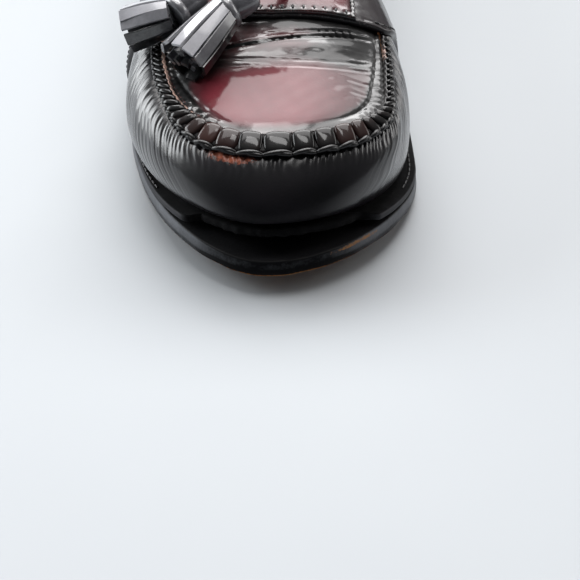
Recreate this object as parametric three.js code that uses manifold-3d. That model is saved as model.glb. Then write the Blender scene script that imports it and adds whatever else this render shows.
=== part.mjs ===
import * as THREE from "three";
import { mergeVertices } from "three/addons/utils/BufferGeometryUtils.js";
import Module from "manifold-3d";

const wasm = await Module();
wasm.setup();

// Driving sizes in millimetres. y runs from the toe tip back to the heel, and the outer side of
// this right shoe is -x. The table shares below multiply these sizes.
const shoeLength = 300;
const ballWidth = 104;
const instepHeight = 70;
const toeSpring = 12;
const heelHeight = 24;
const outsoleThickness = 6.5;
const weltThickness = 3;
const insoleThickness = 2.5;
const topLiftThickness = 6;
const heelLength = 70;
const heelTaper = 1.6;
const liftCount = 3;
const liftGroove = 0.5;
const liftGrooveHeight = 0.5;
const edgeBevel = 0.7;
const weltInset = 0.4;

// The front of the worn welt is torn back from the edge
const weltTear = 4.5;
const weltTearStart = 16;
const weltTearEnd = 22;

// The outsole of the worn shoe has come away from the welt at the toe
const mouthOpening = 6;
const mouthLength = 36;

const upperWall = 2.2;
const plugThickness = 2;
const tongueThickness = 2.4;
const overlayThickness = 1.7;
const tabThickness = 1.2;
const seamSetback = 26;
const heelLean = 9;
const plugEnd = 96;
const tongueEnd = 150;
const tongueRise = 24;
const saddleTabWidth = 57;
const seamReach = 4;
const seamSideReach = 2.1;
const seamFrontEnd = 0.2;
const seamFrontFade = 0.1;
const lugHeight = 2.3;
const seamBase = 0.8;
const seamSaddleGap = 1.8;
const lugCount = 35;
const lugSpread = 0.3;
const backstayWidth = 22;
const backstayTopWidth = 15;
const collarBandHeight = 9;

const tasselSkirtRadius = 7.3;
const tasselCoreRadius = 5.6;
const tasselHeadRadius = 5.3;
const tasselRimRadius = 6.6;
const tasselRimLength = 2.4;
const stripCount = 12;
const stripThickness = 1.5;
const laceDiameter = 3.2;
const knotLength = 15;
const knotRadius = 4.6;

// Room left between pieces that touch, and between bent layers cut into flat facets
const clearance = 0.3;
const layerGap = 0.45;

const tongueStart = plugEnd + 1.5;

// Facets along one side of the shoe
const soleStations = 34;
const upperStations = 36;
const wallSteps = 9;

// Half widths of the sole as shares of the ball width, by share of the length from the toe
const soleSections = table("at lateral medial", [
  [0.0, 0.48, 0.5],
  [0.12, 0.485, 0.503],
  [0.2, 0.488, 0.506],
  [0.28, 0.492, 0.498],
  [0.36, 0.492, 0.455],
  [0.45, 0.468, 0.375],
  [0.55, 0.42, 0.305],
  [0.65, 0.375, 0.285],
  [0.75, 0.35, 0.3],
  [0.85, 0.34, 0.32],
  [0.93, 0.332, 0.325],
  [1.0, 0.325, 0.32],
]);

// How far the underside of the sole stands off the floor: toe is a share of the toe spring,
// heel a share of the heel height
const soleRise = table("at toe heel", [
  [0.0, 1.0, 0.0],
  [0.05, 0.71, 0.0],
  [0.1, 0.43, 0.0],
  [0.15, 0.21, 0.0],
  [0.2, 0.067, 0.0],
  [0.25, 0.0, 0.0],
  [0.4, 0.0, 0.0],
  [0.48, 0.0, 0.083],
  [0.57, 0.0, 0.375],
  [0.66, 0.0, 0.708],
  [0.74, 0.0, 0.896],
  [0.85, 0.0, 0.958],
  [1.0, 0.0, 1.0],
]);

// The line where the wall of the upper ends: the apron seam at the toe, the topline behind it.
// Half widths are shares of the ball width, height and crown shares of the instep height.
const topLine = table("at lateral medial height crown", [
  [0.0, 0.365, 0.4, 0.579, 0.0],
  [0.05, 0.362, 0.402, 0.593, 0.05],
  [0.12, 0.36, 0.402, 0.636, 0.086],
  [0.2, 0.355, 0.39, 0.7, 0.121],
  [0.27, 0.33, 0.345, 0.785, 0.15],
  [0.34, 0.3, 0.3, 0.89, 0.165],
  [0.4, 0.3, 0.275, 0.985, 0.171],
  [0.46, 0.315, 0.27, 1.0, 0.171],
  [0.55, 0.33, 0.275, 0.957, 0.171],
  [0.65, 0.332, 0.28, 0.914, 0.171],
  [0.78, 0.315, 0.29, 0.93, 0.171],
  [0.9, 0.285, 0.285, 1.057, 0.171],
  [1.0, 0.27, 0.27, 1.186, 0.171],
]);

// Inset of the upper's foot from the sole edge, and the two handles that bend its wall,
// all as shares of the ball width
const wallSections = table("at inset lowOut lowUp highOut highDown", [
  [0.0, 0.087, 0.087, 0.019, 0.125, 0.01],
  [0.1, 0.077, 0.087, 0.029, 0.125, 0.019],
  [0.2, 0.062, 0.087, 0.048, 0.112, 0.038],
  [0.3, 0.052, 0.08, 0.08, 0.09, 0.085],
  [0.4, 0.047, 0.07, 0.115, 0.065, 0.15],
  [0.55, 0.042, 0.048, 0.135, 0.048, 0.173],
  [0.7, 0.037, 0.04, 0.135, 0.03, 0.173],
  [0.85, 0.034, 0.055, 0.155, 0.022, 0.19],
  [1.0, 0.038, 0.075, 0.175, 0.012, 0.19],
]);

// The saddle from the welt (0) over the edge of the apron (1) to the middle of the vamp (2):
// its front and back as shares of the length
const saddleSections = table("at front back", [
  [0.0, 0.36, 0.47],
  [0.5, 0.325, 0.425],
  [1.0, 0.272, 0.393],
  [2.0, 0.262, 0.385],
]);

// Rounding of the two ends: how long it is as a share, and the power of its curve
const soleToe = { lateral: { share: 0.31, power: 1.8 }, medial: { share: 0.2, power: 1.9 } };
const seamNose = { lateral: { share: 0.205, power: 2.2 }, medial: { share: 0.09, power: 2.2 } };
const heelRound = { share: 0.13, power: 2.1 };

// The outer wall stands further out than the inner one
const sideBulge = 0.24;
const bulgeStart = 0.3;

const black = 0x17151a;
const burgundy = 0x4a1020;
const materials = {
  outsole: leather("outsole", 0x201d1e, 0.6),
  welt: leather("welt", 0x151314, 0.6),
  heel: leather("heel", 0x1d191a, 0.55),
  topLift: leather("topLift", 0x1a1a1b, 0.85),
  lining: leather("lining", 0x8a6a4c, 0.7),
  upper: leather("upper", black, 0.32),
  plug: leather("plug", burgundy, 0.22),
  seam: leather("seam", 0x121013, 0.4),
  saddle: leather("saddle", black, 0.3),
  tab: leather("tab", burgundy, 0.24),
  tassel: leather("tassel", 0x1b181c, 0.35),
  lace: leather("lace", 0x151215, 0.4),
};

function leather(name, color, roughness) {
  return new THREE.MeshStandardMaterial({ name, color, roughness, metalness: 0 });
}

// Turns rows of numbers into records with the named columns
function table(columns, rows) {
  const names = columns.split(" ");
  return rows.map((row) => Object.fromEntries(names.map((name, i) => [name, row[i]])));
}

// Value of a column between two rows, on a smooth curve that never overshoots them
function smooth(records, column, share) {
  const last = records.length - 1;
  const at = Math.min(Math.max(share, records[0].at), records[last].at);
  let i = 0;
  while (i < last - 1 && at > records[i + 1].at) i += 1;
  const slope = (k) => {
    const rise = records[k + 1][column] - records[k][column];
    return rise / (records[k + 1].at - records[k].at);
  };
  const tangent = (k) => {
    if (k === 0) return slope(0);
    if (k === last) return slope(last - 1);
    const before = slope(k - 1);
    const after = slope(k);
    return before * after > 0 ? (2 * before * after) / (before + after) : 0;
  };
  const span = records[i + 1].at - records[i].at;
  const s = (at - records[i].at) / span;
  const mix = s * s * (3 - 2 * s);
  const values = records[i][column] * (1 - mix) + records[i + 1][column] * mix;
  const leaving = tangent(i) * span * (s ** 3 - 2 * s ** 2 + s);
  const arriving = tangent(i + 1) * span * (s ** 3 - s ** 2);
  return values + leaving + arriving;
}

function roundEnd(distance, { share, power }) {
  const left = Math.min(Math.max(1 - distance / share, 0), 1);
  return (1 - left ** power) ** (1 / power);
}

// A place around the shoe is one number: 0 at the toe, -1 and 1 at the heel, negative on the
// outer side. Stations bunch up at both ends, where the outline turns.
function aroundShoe(u) {
  const turn = u - 2 * Math.floor((u + 1) / 2);
  const side = turn < 0 ? "lateral" : "medial";
  return { side, sign: turn < 0 ? -1 : 1, along: (1 - Math.cos(Math.PI * turn)) / 2, turn: Math.abs(turn) };
}

function solePoint(u) {
  const { side, sign, along } = aroundShoe(u);
  const ends = roundEnd(along, soleToe[side]) * roundEnd(1 - along, heelRound);
  return new THREE.Vector2(sign * ballWidth * smooth(soleSections, side, along) * ends, shoeLength * along);
}

function soleOutward(u) {
  const step = 0.002;
  const run = solePoint(u + step).sub(solePoint(u - step)).normalize();
  return new THREE.Vector2(run.y, -run.x);
}

function soleEdge(u, inset) {
  return solePoint(u).addScaledVector(soleOutward(u), -inset);
}

function soleRiseAt(along) {
  return toeSpring * smooth(soleRise, "toe", along) + heelHeight * smooth(soleRise, "heel", along);
}

function weltTop(along) {
  return soleRiseAt(along) + outsoleThickness + weltThickness;
}

function topHalfWidth(side, along) {
  const ends = roundEnd(along, seamNose[side]) * roundEnd(1 - along, heelRound);
  return ballWidth * smooth(topLine, side, along) * ends;
}

const topSpan = shoeLength - heelLean - seamSetback;

function topEdge(u) {
  const { side, sign, along } = aroundShoe(u);
  const height = instepHeight * smooth(topLine, "height", along);
  return new THREE.Vector3(sign * topHalfWidth(side, along), seamSetback + topSpan * along, height);
}

// A wall line rises from the welt, bulges and turns in to the top line. b runs from 0 to 1.
function wallPoint(u, b) {
  const { sign, along, turn } = aroundShoe(u);
  const outward = soleOutward(u);
  const ease = Math.min(1, turn / bulgeStart, (1 - turn) / bulgeStart);
  const bulge = 1 - sign * sideBulge * Math.sin((ease * Math.PI) / 2);
  const size = (column) => ballWidth * smooth(wallSections, column, along);
  const foot = solePoint(u).addScaledVector(outward, -size("inset"));
  const low = new THREE.Vector3(foot.x, foot.y, weltTop(along) + clearance);
  const high = topEdge(u);
  const lowHandle = offsetBy(low, outward, size("lowOut") * bulge, size("lowUp"));
  const highHandle = offsetBy(high, outward, size("highOut") * bulge, -size("highDown"));
  return new THREE.CubicBezierCurve3(low, lowHandle, highHandle, high).getPoint(b);
}

function offsetBy(point, outward, out, up) {
  return new THREE.Vector3(point.x + outward.x * out, point.y + outward.y * out, point.z + up);
}

// Outward unit normal of a surface given by a function of two numbers
function normalOf(surface, a, b, step = 0.004) {
  const alongA = surface(a + step, b).sub(surface(a - step, b));
  const low = Math.max(b - step, 0);
  const high = Math.min(b + step, 1);
  const alongB = surface(a, high).sub(surface(a, low));
  return alongA.cross(alongB).normalize();
}

function wallOffset(u, b, distance) {
  return wallPoint(u, b).addScaledVector(normalOf(wallPoint, u, b), distance);
}

// The apron and the instep behind it bridge the two top lines. y is in millimetres,
// c runs from 0 on the outer edge to 1 on the inner edge.
function vampPoint(y, c, inset = 0) {
  const along = Math.min(Math.max((y - seamSetback) / topSpan, 0), 1);
  const edge = Math.max(along - inset / topSpan, 0);
  const left = Math.max(topHalfWidth("lateral", edge) - inset, 0);
  const right = Math.max(topHalfWidth("medial", edge) - inset, 0);
  const arch = 1 - Math.abs(2 * c - 1) ** 2.2;
  const crown = instepHeight * smooth(topLine, "crown", along) * arch;
  const height = instepHeight * smooth(topLine, "height", along) + crown;
  return new THREE.Vector3(-left + (left + right) * c, y, height);
}

function vampNormal(y, c) {
  const nearNose = Math.max(y, seamSetback + 1.5);
  const forward = vampPoint(nearNose + 0.5, c).sub(vampPoint(nearNose - 0.5, c));
  const across = vampPoint(nearNose, Math.min(c + 0.01, 1)).sub(vampPoint(nearNose, Math.max(c - 0.01, 0)));
  return across.cross(forward).normalize();
}

function vampOffset(y, c, distance, inset = 0) {
  return vampPoint(y, c, inset).addScaledVector(vampNormal(y, c), distance);
}

// Finds the wall line that passes a given y at height b
function wallLineAt(sign, b, y) {
  let front = 0;
  let back = 1;
  for (let i = 0; i < 30; i += 1) {
    const middle = (front + back) / 2;
    if (wallPoint(sign * middle, b).y < y) front = middle;
    else back = middle;
  }
  return (sign * (front + back)) / 2;
}

// One sheet over wall, apron and wall. v runs from -2 at the outer welt over -1 and 1, the two
// top lines, to 2 at the inner welt.
function overPoint(v, y) {
  if (Math.abs(v) <= 1) return vampPoint(y, (v + 1) / 2);
  const sign = Math.sign(v);
  const b = 2 - Math.abs(v);
  return wallPoint(wallLineAt(sign, b, y), b);
}

function overOffset(v, y, distance) {
  const stepV = 0.03;
  const across = overPoint(Math.min(v + stepV, 2), y).sub(overPoint(Math.max(v - stepV, -2), y));
  const along = overPoint(v, y + 0.6).sub(overPoint(v, y - 0.6));
  return overPoint(v, y).addScaledVector(across.cross(along).normalize(), distance);
}

function spread(count, from, to) {
  return Array.from({ length: count + 1 }, (_, i) => from + ((to - from) * i) / count);
}

// Collects triangles and closes them into one welded geometry whose faces point outward
class Skin {
  constructor() {
    this.corners = [];
  }

  triangle(a, b, c) {
    this.corners.push(a, b, c);
  }

  quad(a, b, c, d) {
    this.triangle(a, b, c);
    this.triangle(a, c, d);
  }

  sheet(rows, flipped = false) {
    for (let i = 0; i + 1 < rows.length; i += 1) {
      for (let j = 0; j + 1 < rows[i].length; j += 1) {
        const [a, b, c, d] = [rows[i][j], rows[i + 1][j], rows[i + 1][j + 1], rows[i][j + 1]];
        if (flipped) this.quad(d, c, b, a);
        else this.quad(a, b, c, d);
      }
    }
    return this;
  }

  geometry() {
    const loose = new THREE.BufferGeometry().setFromPoints(this.corners);
    return outwardFacing(mergeVertices(loose, 1e-4));
  }
}

function outwardFacing(welded) {
  const place = welded.getAttribute("position");
  const index = welded.getIndex().array;
  const point = (i) => new THREE.Vector3().fromBufferAttribute(place, i);
  const faces = [];
  let volume = 0;
  for (let i = 0; i < index.length; i += 3) {
    const [a, b, c] = [index[i], index[i + 1], index[i + 2]];
    if (a === b || b === c || c === a) continue;
    faces.push([a, b, c]);
    volume += point(a).dot(point(b).cross(point(c)));
  }
  const ordered = faces.map(([a, b, c]) => (volume < 0 ? [a, c, b] : [a, b, c]));
  welded.setIndex(ordered.flat());
  welded.computeVertexNormals();
  return welded;
}

// Solid between two sheets of equal rows. A ring's rows run around the shoe and meet again.
function solidBetween(outer, inner, ring = false) {
  const skin = new Skin();
  const over = ring ? [...outer, outer[0]] : outer;
  const under = ring ? [...inner, inner[0]] : inner;
  skin.sheet(over).sheet(under, true);
  const lastColumn = over[0].length - 1;
  skin.sheet(over.map((row, i) => [under[i][0], row[0]]));
  skin.sheet(over.map((row, i) => [row[lastColumn], under[i][lastColumn]]));
  if (!ring) {
    skin.sheet([under[0], over[0]]);
    skin.sheet([over[over.length - 1], under[under.length - 1]]);
  }
  return skin.geometry();
}

// Solid from level rings, each a list of outer side points and a list of inner side points
function plateSolid(levels) {
  const skin = new Skin();
  const loops = levels.map(({ left, right }) => [...left, ...[...right].reverse(), left[0]]);
  skin.sheet(loops);
  const bottom = levels[0];
  const top = levels[levels.length - 1];
  skin.sheet(bottom.left.map((point, i) => [point, bottom.right[i]]));
  skin.sheet(top.left.map((point, i) => [top.right[i], point]));
  return skin.geometry();
}

function level(turns, inset, heightAt) {
  const side = (sign) =>
    turns.map((turn) => {
      const { along } = aroundShoe(turn);
      const edge = soleEdge(sign * turn, typeof inset === "function" ? inset(along) : inset);
      return new THREE.Vector3(edge.x, edge.y, heightAt(along));
    });
  return { left: side(-1), right: side(1) };
}

const wholeLength = spread(soleStations, 0, 1);

function mouthAt(along) {
  const closed = Math.min((along * shoeLength) / mouthLength, 1);
  return mouthOpening * (1 - closed) ** 1.6;
}

function outsoleGeometry() {
  const under = (along) => soleRiseAt(along) - mouthAt(along);
  const at = (height) => (along) => under(along) + height;
  return plateSolid([
    level(wholeLength, edgeBevel, at(0)),
    level(wholeLength, 0, at(edgeBevel)),
    level(wholeLength, 0, at(outsoleThickness - edgeBevel)),
    level(wholeLength, edgeBevel, at(outsoleThickness)),
  ]);
}

function weltInsetAt(along, more = 0) {
  const share = (along * shoeLength - weltTearStart) / (weltTearEnd - weltTearStart);
  return weltInset + more + weltTear * (1 - Math.min(Math.max(share, 0), 1));
}

function weltGeometry() {
  const at = (height) => (along) => soleRiseAt(along) + outsoleThickness + height;
  return plateSolid([
    level(wholeLength, weltInsetAt, at(clearance)),
    level(wholeLength, weltInsetAt, at(weltThickness - edgeBevel)),
    level(wholeLength, (along) => weltInsetAt(along, edgeBevel), at(weltThickness)),
  ]);
}

// Turn number of a station that lies a given way from the heel's back
function turnAt(y) {
  return Math.acos(1 - (2 * y) / shoeLength) / Math.PI;
}

const heelTurns = spread(14, turnAt(shoeLength - heelLength), 1);

function heelInset(share) {
  return edgeBevel + heelTaper * (1 - share);
}

function topLiftGeometry() {
  const share = topLiftThickness / heelHeight;
  return plateSolid([
    level(heelTurns, heelInset(0) + edgeBevel, () => 0),
    level(heelTurns, heelInset(0), () => edgeBevel),
    level(heelTurns, heelInset(share), () => topLiftThickness),
  ]);
}

function heelStackGeometry() {
  const foot = topLiftThickness + clearance;
  const share = (height) => (foot + height) / heelHeight;
  const levels = [];
  const stackHeight = heelHeight - foot;
  const lift = stackHeight / liftCount;
  const add = (height, groove) => {
    const part = height / stackHeight;
    const heightAt = (along) => foot + part * (soleRiseAt(along) - clearance - foot);
    levels.push(level(heelTurns, heelInset(share(height)) + groove, heightAt));
  };
  add(0, 0);
  for (let i = 1; i < liftCount; i += 1) {
    add(i * lift - liftGrooveHeight, 0);
    add(i * lift, liftGroove);
    add(i * lift + liftGrooveHeight, 0);
  }
  add(stackHeight, 0);
  return plateSolid(levels);
}

function insoleGeometry() {
  const turns = spread(26, 0, 1);
  const side = (sign, height) =>
    turns.map((turn) => {
      const { along } = aroundShoe(turn);
      const inset = ballWidth * smooth(wallSections, "inset", along) + upperWall + clearance;
      const edge = soleEdge(sign * turn, inset);
      return new THREE.Vector3(edge.x, edge.y, weltTop(along) + height);
    });
  const at = (height) => ({ left: side(-1, height), right: side(1, height) });
  return plateSolid([at(clearance), at(clearance + insoleThickness)]);
}

function upperGeometry() {
  const ring = spread(2 * upperStations, -1, 1).slice(0, -1);
  const steps = spread(wallSteps, 0, 1);
  const sheet = (distance) => ring.map((u) => steps.map((b) => wallOffset(u, b, distance)));
  return solidBetween(sheet(0), sheet(-upperWall), true);
}

// Rows of the apron bunch up at the nose, and its edge stays clear of the wall's edge
function plugGeometry() {
  const start = seamSetback + layerGap;
  const rows = spread(16, 0, 1).map((share) => start + (plugEnd - start) * share ** 1.6);
  const across = spread(9, 0, 1);
  const inset = (y) => layerGap + (1.5 * (y - start)) / (plugEnd - start);
  const sheet = (distance) => {
    const row = (y, places) => places.map((c) => vampOffset(y, c, distance, inset(y)));
    const tip = row(rows[0], across.map(() => 0.5));
    return [tip, ...rows.slice(1).map((y) => row(y, across))];
  };
  return solidBetween(sheet(0), sheet(-plugThickness));
}

// The tongue goes on from the apron under the saddle, then leaves the top lines and rises
function tonguePoint(y, c) {
  const throat = shoeLength * saddleSections[3].back;
  const inset = upperWall + clearance;
  const point = vampPoint(Math.min(y, throat), c, inset);
  const free = Math.max(y - throat, 0) / (tongueEnd - throat);
  point.y = y;
  point.z += tongueRise * free * (1.15 - 0.15 * free);
  point.x *= 1 - 0.1 * free ** 3;
  return point;
}

function tongueGeometry() {
  const rows = spread(9, tongueStart, tongueEnd);
  const across = spread(8, 0, 1);
  const normal = (y, c) => {
    const along = tonguePoint(y + 0.5, c).sub(tonguePoint(y - 0.5, c));
    const over = tonguePoint(y, Math.min(c + 0.02, 1)).sub(tonguePoint(y, Math.max(c - 0.02, 0)));
    return over.cross(along).normalize();
  };
  const sheet = (distance) =>
    rows.map((y) => across.map((c) => tonguePoint(y, c).addScaledVector(normal(y, c), distance)));
  return solidBetween(sheet(0), sheet(-tongueThickness));
}

function saddleY(v, share) {
  const at = 2 - Math.abs(v);
  const front = shoeLength * smooth(saddleSections, "front", at);
  const back = shoeLength * smooth(saddleSections, "back", at);
  return front + (back - front) * share;
}

function saddleGeometry() {
  const foot = 1.94;
  const across = [...spread(9, -foot, -1), ...spread(10, -1, 1).slice(1), ...spread(9, 1, foot).slice(1)];
  const sheet = (distance) =>
    across.map((v) => spread(6, 0, 1).map((share) => overOffset(v, saddleY(v, share), distance)));
  return solidBetween(sheet(layerGap + overlayThickness), sheet(layerGap));
}

// The burgundy panel stitched on the middle of the saddle
function tabGeometry() {
  const lift = layerGap + overlayThickness + clearance;
  const rows = spread(7, -1, 1);
  const sheet = (distance) =>
    spread(4, 0.07, 0.93).map((share) =>
      rows.map((row) => {
        const y = saddleY(0, share);
        const along = (y - seamSetback) / topSpan;
        const half = (topHalfWidth("lateral", along) + topHalfWidth("medial", along)) / 2;
        const v = (row * saddleTabWidth) / 2 / half;
        return overOffset(v, saddleY(v, share), distance);
      }),
    );
  return solidBetween(sheet(lift + tabThickness), sheet(lift));
}

// The gathered seam: a low band on both sides of the top line, raised in lugs
function seamGeometry() {
  const start = wallLineAt(1, 1, saddleY(1, 0) - seamSaddleGap);
  const perLug = 4;
  const skin = new Skin();
  const ring = spread(lugCount * perLug, -1, 1).map((share, i) => {
    const u = start * share * (1 + lugSpread * (1 - share * share));
    const high = i % perLug === 1 || i % perLug === 2;
    const top = layerGap + seamBase + (high ? lugHeight - seamBase : 0);
    return seamSection(u, top);
  });
  skin.sheet(ring);
  const [first, last] = [ring[0], ring[ring.length - 1]];
  for (const [section, order] of [[first, 1], [last, -1]]) {
    for (let k = 1; k + 1 < section.length - 1; k += 1) {
      if (order > 0) skin.triangle(section[0], section[k], section[k + 1]);
      else skin.triangle(section[0], section[k + 1], section[k]);
    }
  }
  return skin.geometry();
}

function seamSection(u, top) {
  const { sign, along, turn } = aroundShoe(u);
  const front = Math.min(Math.max((seamFrontEnd - turn) / seamFrontFade, 0), 1);
  const reach = seamSideReach + (seamReach - seamSideReach) * front;
  const edge = topEdge(u);
  const wallRun = 3 * ballWidth * Math.hypot(
    smooth(wallSections, "highOut", along),
    smooth(wallSections, "highDown", along),
  );
  const b = 1 - reach / wallRun;
  const inward = topInward(u);
  const y = edge.y + inward.y * reach;
  const alongPlug = (y - seamSetback) / topSpan;
  const left = topHalfWidth("lateral", alongPlug);
  const width = Math.max(left + topHalfWidth("medial", alongPlug), 1);
  const c = Math.min(Math.max((edge.x + inward.x * reach + left) / width, 0), 1);
  const onWall = (distance) => wallOffset(u, b, distance);
  const onPlug = (distance) => vampOffset(y, c, distance);
  const middle = (distance) => {
    const normal = normalOf(wallPoint, u, 1).add(vampNormal(y, c)).normalize();
    return edge.clone().addScaledVector(normal, distance);
  };
  const lowTop = layerGap + (top - layerGap) * 0.7;
  const over = [onWall(layerGap), onWall(lowTop), middle(top)];
  const section = [...over, onPlug(lowTop), onPlug(layerGap), middle(layerGap)];
  return [...section, section[0]];
}

function topInward(u) {
  const step = 0.004;
  const run = topEdge(u + step).sub(topEdge(u - step));
  return new THREE.Vector3(-run.y, run.x, 0).normalize();
}

function backstayGeometry() {
  const steps = spread(8, 0.05, 0.985);
  const widest = solePoint(0.97).distanceTo(solePoint(1.03)) / 0.06;
  const sheet = (distance) =>
    steps.map((b) => {
      const half = (backstayWidth + (backstayTopWidth - backstayWidth) * b) / 2 / widest;
      return spread(6, 1 - half, 1 + half).map((u) => wallOffset(u, b, distance));
    });
  return solidBetween(sheet(layerGap + overlayThickness), sheet(layerGap));
}

// A narrow band round the outside of the topline, from the saddle's back edge to the backstay
function collarBandGeometry(sign) {
  const wallRun = topEdge(0.7).distanceTo(wallPoint(0.7, 0));
  const low = 1 - collarBandHeight / wallRun;
  const from = Math.abs(wallLineAt(sign, 0.9, shoeLength * saddleSections[1].back)) + 0.025;
  const to = 1 - (backstayTopWidth / 2 + 3) / ((solePoint(0.97).distanceTo(solePoint(1.03))) / 0.06);
  const sheet = (distance) =>
    spread(18, from, to).map((turn) =>
      [low, (low + 1) / 2, 0.995].map((b) => wallOffset(sign * turn, b, distance)),
    );
  return solidBetween(sheet(layerGap + overlayThickness), sheet(layerGap));
}

function toManifold(geometry) {
  const welded = outwardFacing(mergeVertices(positionsOnly(geometry), 1e-4));
  return new wasm.Manifold(
    new wasm.Mesh({
      numProp: 3,
      vertProperties: new Float32Array(welded.getAttribute("position").array),
      triVerts: new Uint32Array(welded.getIndex().array),
    }),
  );
}

function positionsOnly(geometry) {
  const bare = new THREE.BufferGeometry();
  bare.setAttribute("position", geometry.getAttribute("position"));
  if (geometry.getIndex()) bare.setIndex(geometry.getIndex());
  return bare;
}

function joined(geometries) {
  const mesh = wasm.Manifold.union(geometries.map(toManifold)).getMesh();
  const geometry = new THREE.BufferGeometry();
  geometry.setAttribute("position", new THREE.BufferAttribute(new Float32Array(mesh.vertProperties), 3));
  geometry.setIndex([...mesh.triVerts]);
  geometry.computeVertexNormals();
  return geometry;
}

// Turns a shape made along +y so that it starts at one point and runs towards another
function laid(geometry, from, towards) {
  const direction = towards.clone().sub(from).normalize();
  const turn = new THREE.Quaternion().setFromUnitVectors(new THREE.Vector3(0, 1, 0), direction);
  return geometry.applyQuaternion(turn).translate(from.x, from.y, from.z);
}

function turned(profile, sides) {
  return new THREE.LatheGeometry(profile.map(([radius, height]) => new THREE.Vector2(radius, height)), sides);
}

// A tassel lies bent at its rim: head behind it, skirt of cut strips in front
function tasselGeometry({ top, rim, end }) {
  const headLength = top.distanceTo(rim);
  const skirtLength = rim.distanceTo(end);
  const head = turned([
    [0, 0],
    [tasselHeadRadius * 0.55, 0],
    [tasselHeadRadius * 0.9, headLength * 0.14],
    [tasselHeadRadius, headLength * 0.4],
    [tasselRimRadius, headLength - tasselRimLength],
    [tasselRimRadius, headLength],
    [0, headLength],
  ], 14);
  const core = turned([
    [0, -2],
    [tasselHeadRadius, -1.5],
    [tasselCoreRadius, 0],
    [tasselCoreRadius, skirtLength * 0.85],
    [0, skirtLength * 0.85],
  ], 12);
  const strips = Array.from({ length: stripCount }, (_, i) => stripGeometry(i, skirtLength));
  return joined([laid(head, top, rim), laid(joinedShape([core, ...strips]), rim, end)]);
}

function joinedShape(geometries) {
  return geometries.length > 1 ? joined(geometries) : geometries[0];
}

function stripGeometry(i, skirtLength) {
  const length = skirtLength * (0.96 + 0.04 * Math.cos(i * 2.4));
  const width = (2 * Math.PI * tasselSkirtRadius * 0.86) / stripCount;
  const outline = [
    [tasselCoreRadius - 0.6, -0.6],
    [tasselCoreRadius - 0.2, length],
    [tasselSkirtRadius + 0.3, length - 0.4],
    [tasselSkirtRadius - 0.4, length * 0.45],
    [tasselCoreRadius + stripThickness * 0.5, 0],
  ];
  const shape = new THREE.Shape(outline.map(([x, y]) => new THREE.Vector2(x, y)));
  const strip = new THREE.ExtrudeGeometry(shape, { depth: width, bevelEnabled: false });
  return strip.translate(0, 0, -width / 2).rotateY((2 * Math.PI * i) / stripCount);
}

function tubeGeometry(points, diameter) {
  const radius = diameter / 2;
  const corners = spread(8, 0, 2 * Math.PI).slice(0, -1);
  const shape = new THREE.Shape(
    corners.map((angle) => new THREE.Vector2(radius * Math.cos(angle), radius * Math.sin(angle))),
  );
  const path = new THREE.CatmullRomCurve3(points, false, "catmullrom", 0.5);
  const steps = Math.ceil(path.getLength() / (2 * diameter));
  return new THREE.ExtrudeGeometry(shape, { steps, extrudePath: path, bevelEnabled: false });
}

// Places in millimetres, from the photograph: the two tassels, the knot and the lace ends
const nearTassel = {
  top: new THREE.Vector3(-3.4, 77.8, 68.3),
  rim: new THREE.Vector3(-14, 72.5, 63.2),
  end: new THREE.Vector3(-27.6, 54.6, 54.7),
};
const outerTassel = {
  top: new THREE.Vector3(-21.5, 84, 65.8),
  rim: new THREE.Vector3(-31.5, 75, 61),
  end: new THREE.Vector3(-50.4, 76.5, 54),
};
const nearLacePath = [
  new THREE.Vector3(1.2, 102.5, 76),
  new THREE.Vector3(1.6, 100.3, 74),
  new THREE.Vector3(3, 97.5, 71.7),
  new THREE.Vector3(5.4, 94, 70.1),
  new THREE.Vector3(7.2, 90.5, 68.5),
  new THREE.Vector3(7.6, 87, 67.1),
  new THREE.Vector3(6, 83.8, 67),
  new THREE.Vector3(2.6, 81.2, 68.6),
  ...laceIntoTassel(nearTassel),
];
const outerLacePath = [
  new THREE.Vector3(-3.6, 102.2, 75.9),
  new THREE.Vector3(-3, 100.2, 74),
  new THREE.Vector3(-2.6, 97.2, 71.8),
  new THREE.Vector3(-3.4, 93.6, 70.1),
  new THREE.Vector3(-6.4, 90.6, 68.5),
  new THREE.Vector3(-10.6, 89.2, 67.5),
  new THREE.Vector3(-15, 88.6, 67),
  ...laceIntoTassel(outerTassel),
];
const knotY = 110.5;
const knotSlant = 0.12;
const knotBand = 0.4;
const onTab = layerGap + overlayThickness + clearance + tabThickness + clearance;
const knotCentre = overOffset(-0.02, knotY, onTab + knotRadius + knotBand);

// The last stretch of a lace end runs along the axis of the tassel's head
function laceIntoTassel({ top, rim }) {
  const axis = top.clone().sub(rim).normalize();
  return [top.clone().addScaledVector(axis, 3), top.clone().addScaledVector(axis, clearance + 0.05)];
}

function knotGeometry() {
  const barrel = new THREE.CylinderGeometry(knotRadius, knotRadius, knotLength * 0.72, 12);
  const wrap = knotRadius + knotBand;
  const band = new THREE.CylinderGeometry(wrap, wrap, knotLength * 0.3, 12);
  const bead = new THREE.CylinderGeometry(knotRadius * 0.7, knotRadius * 0.7, knotLength, 10);
  const lying = joined([barrel, band, bead]).rotateZ(Math.PI / 2).rotateZ(knotSlant);
  return lying.translate(knotCentre.x, knotCentre.y, knotCentre.z);
}

// The lace comes up out of a slot on each side of the saddle and runs to the knot
function laceBarGeometry(sign) {
  const onSaddle = layerGap + overlayThickness + clearance + laceDiameter / 2;
  const overTab = onSaddle + tabThickness + clearance;
  const slot = overOffset(sign * 1.03, knotY - 1, onSaddle + 0.2);
  const rise = overOffset(sign * 0.94, knotY - 0.6, overTab + 0.3);
  const middle = overOffset(sign * 0.62, knotY, overTab + 0.3);
  const end = knotCentre.clone();
  end.x += sign * (knotLength / 2 + clearance + 0.7);
  end.y += sign * knotLength * 0.5 * knotSlant;
  return tubeGeometry([slot, rise, middle, end], laceDiameter);
}

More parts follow.
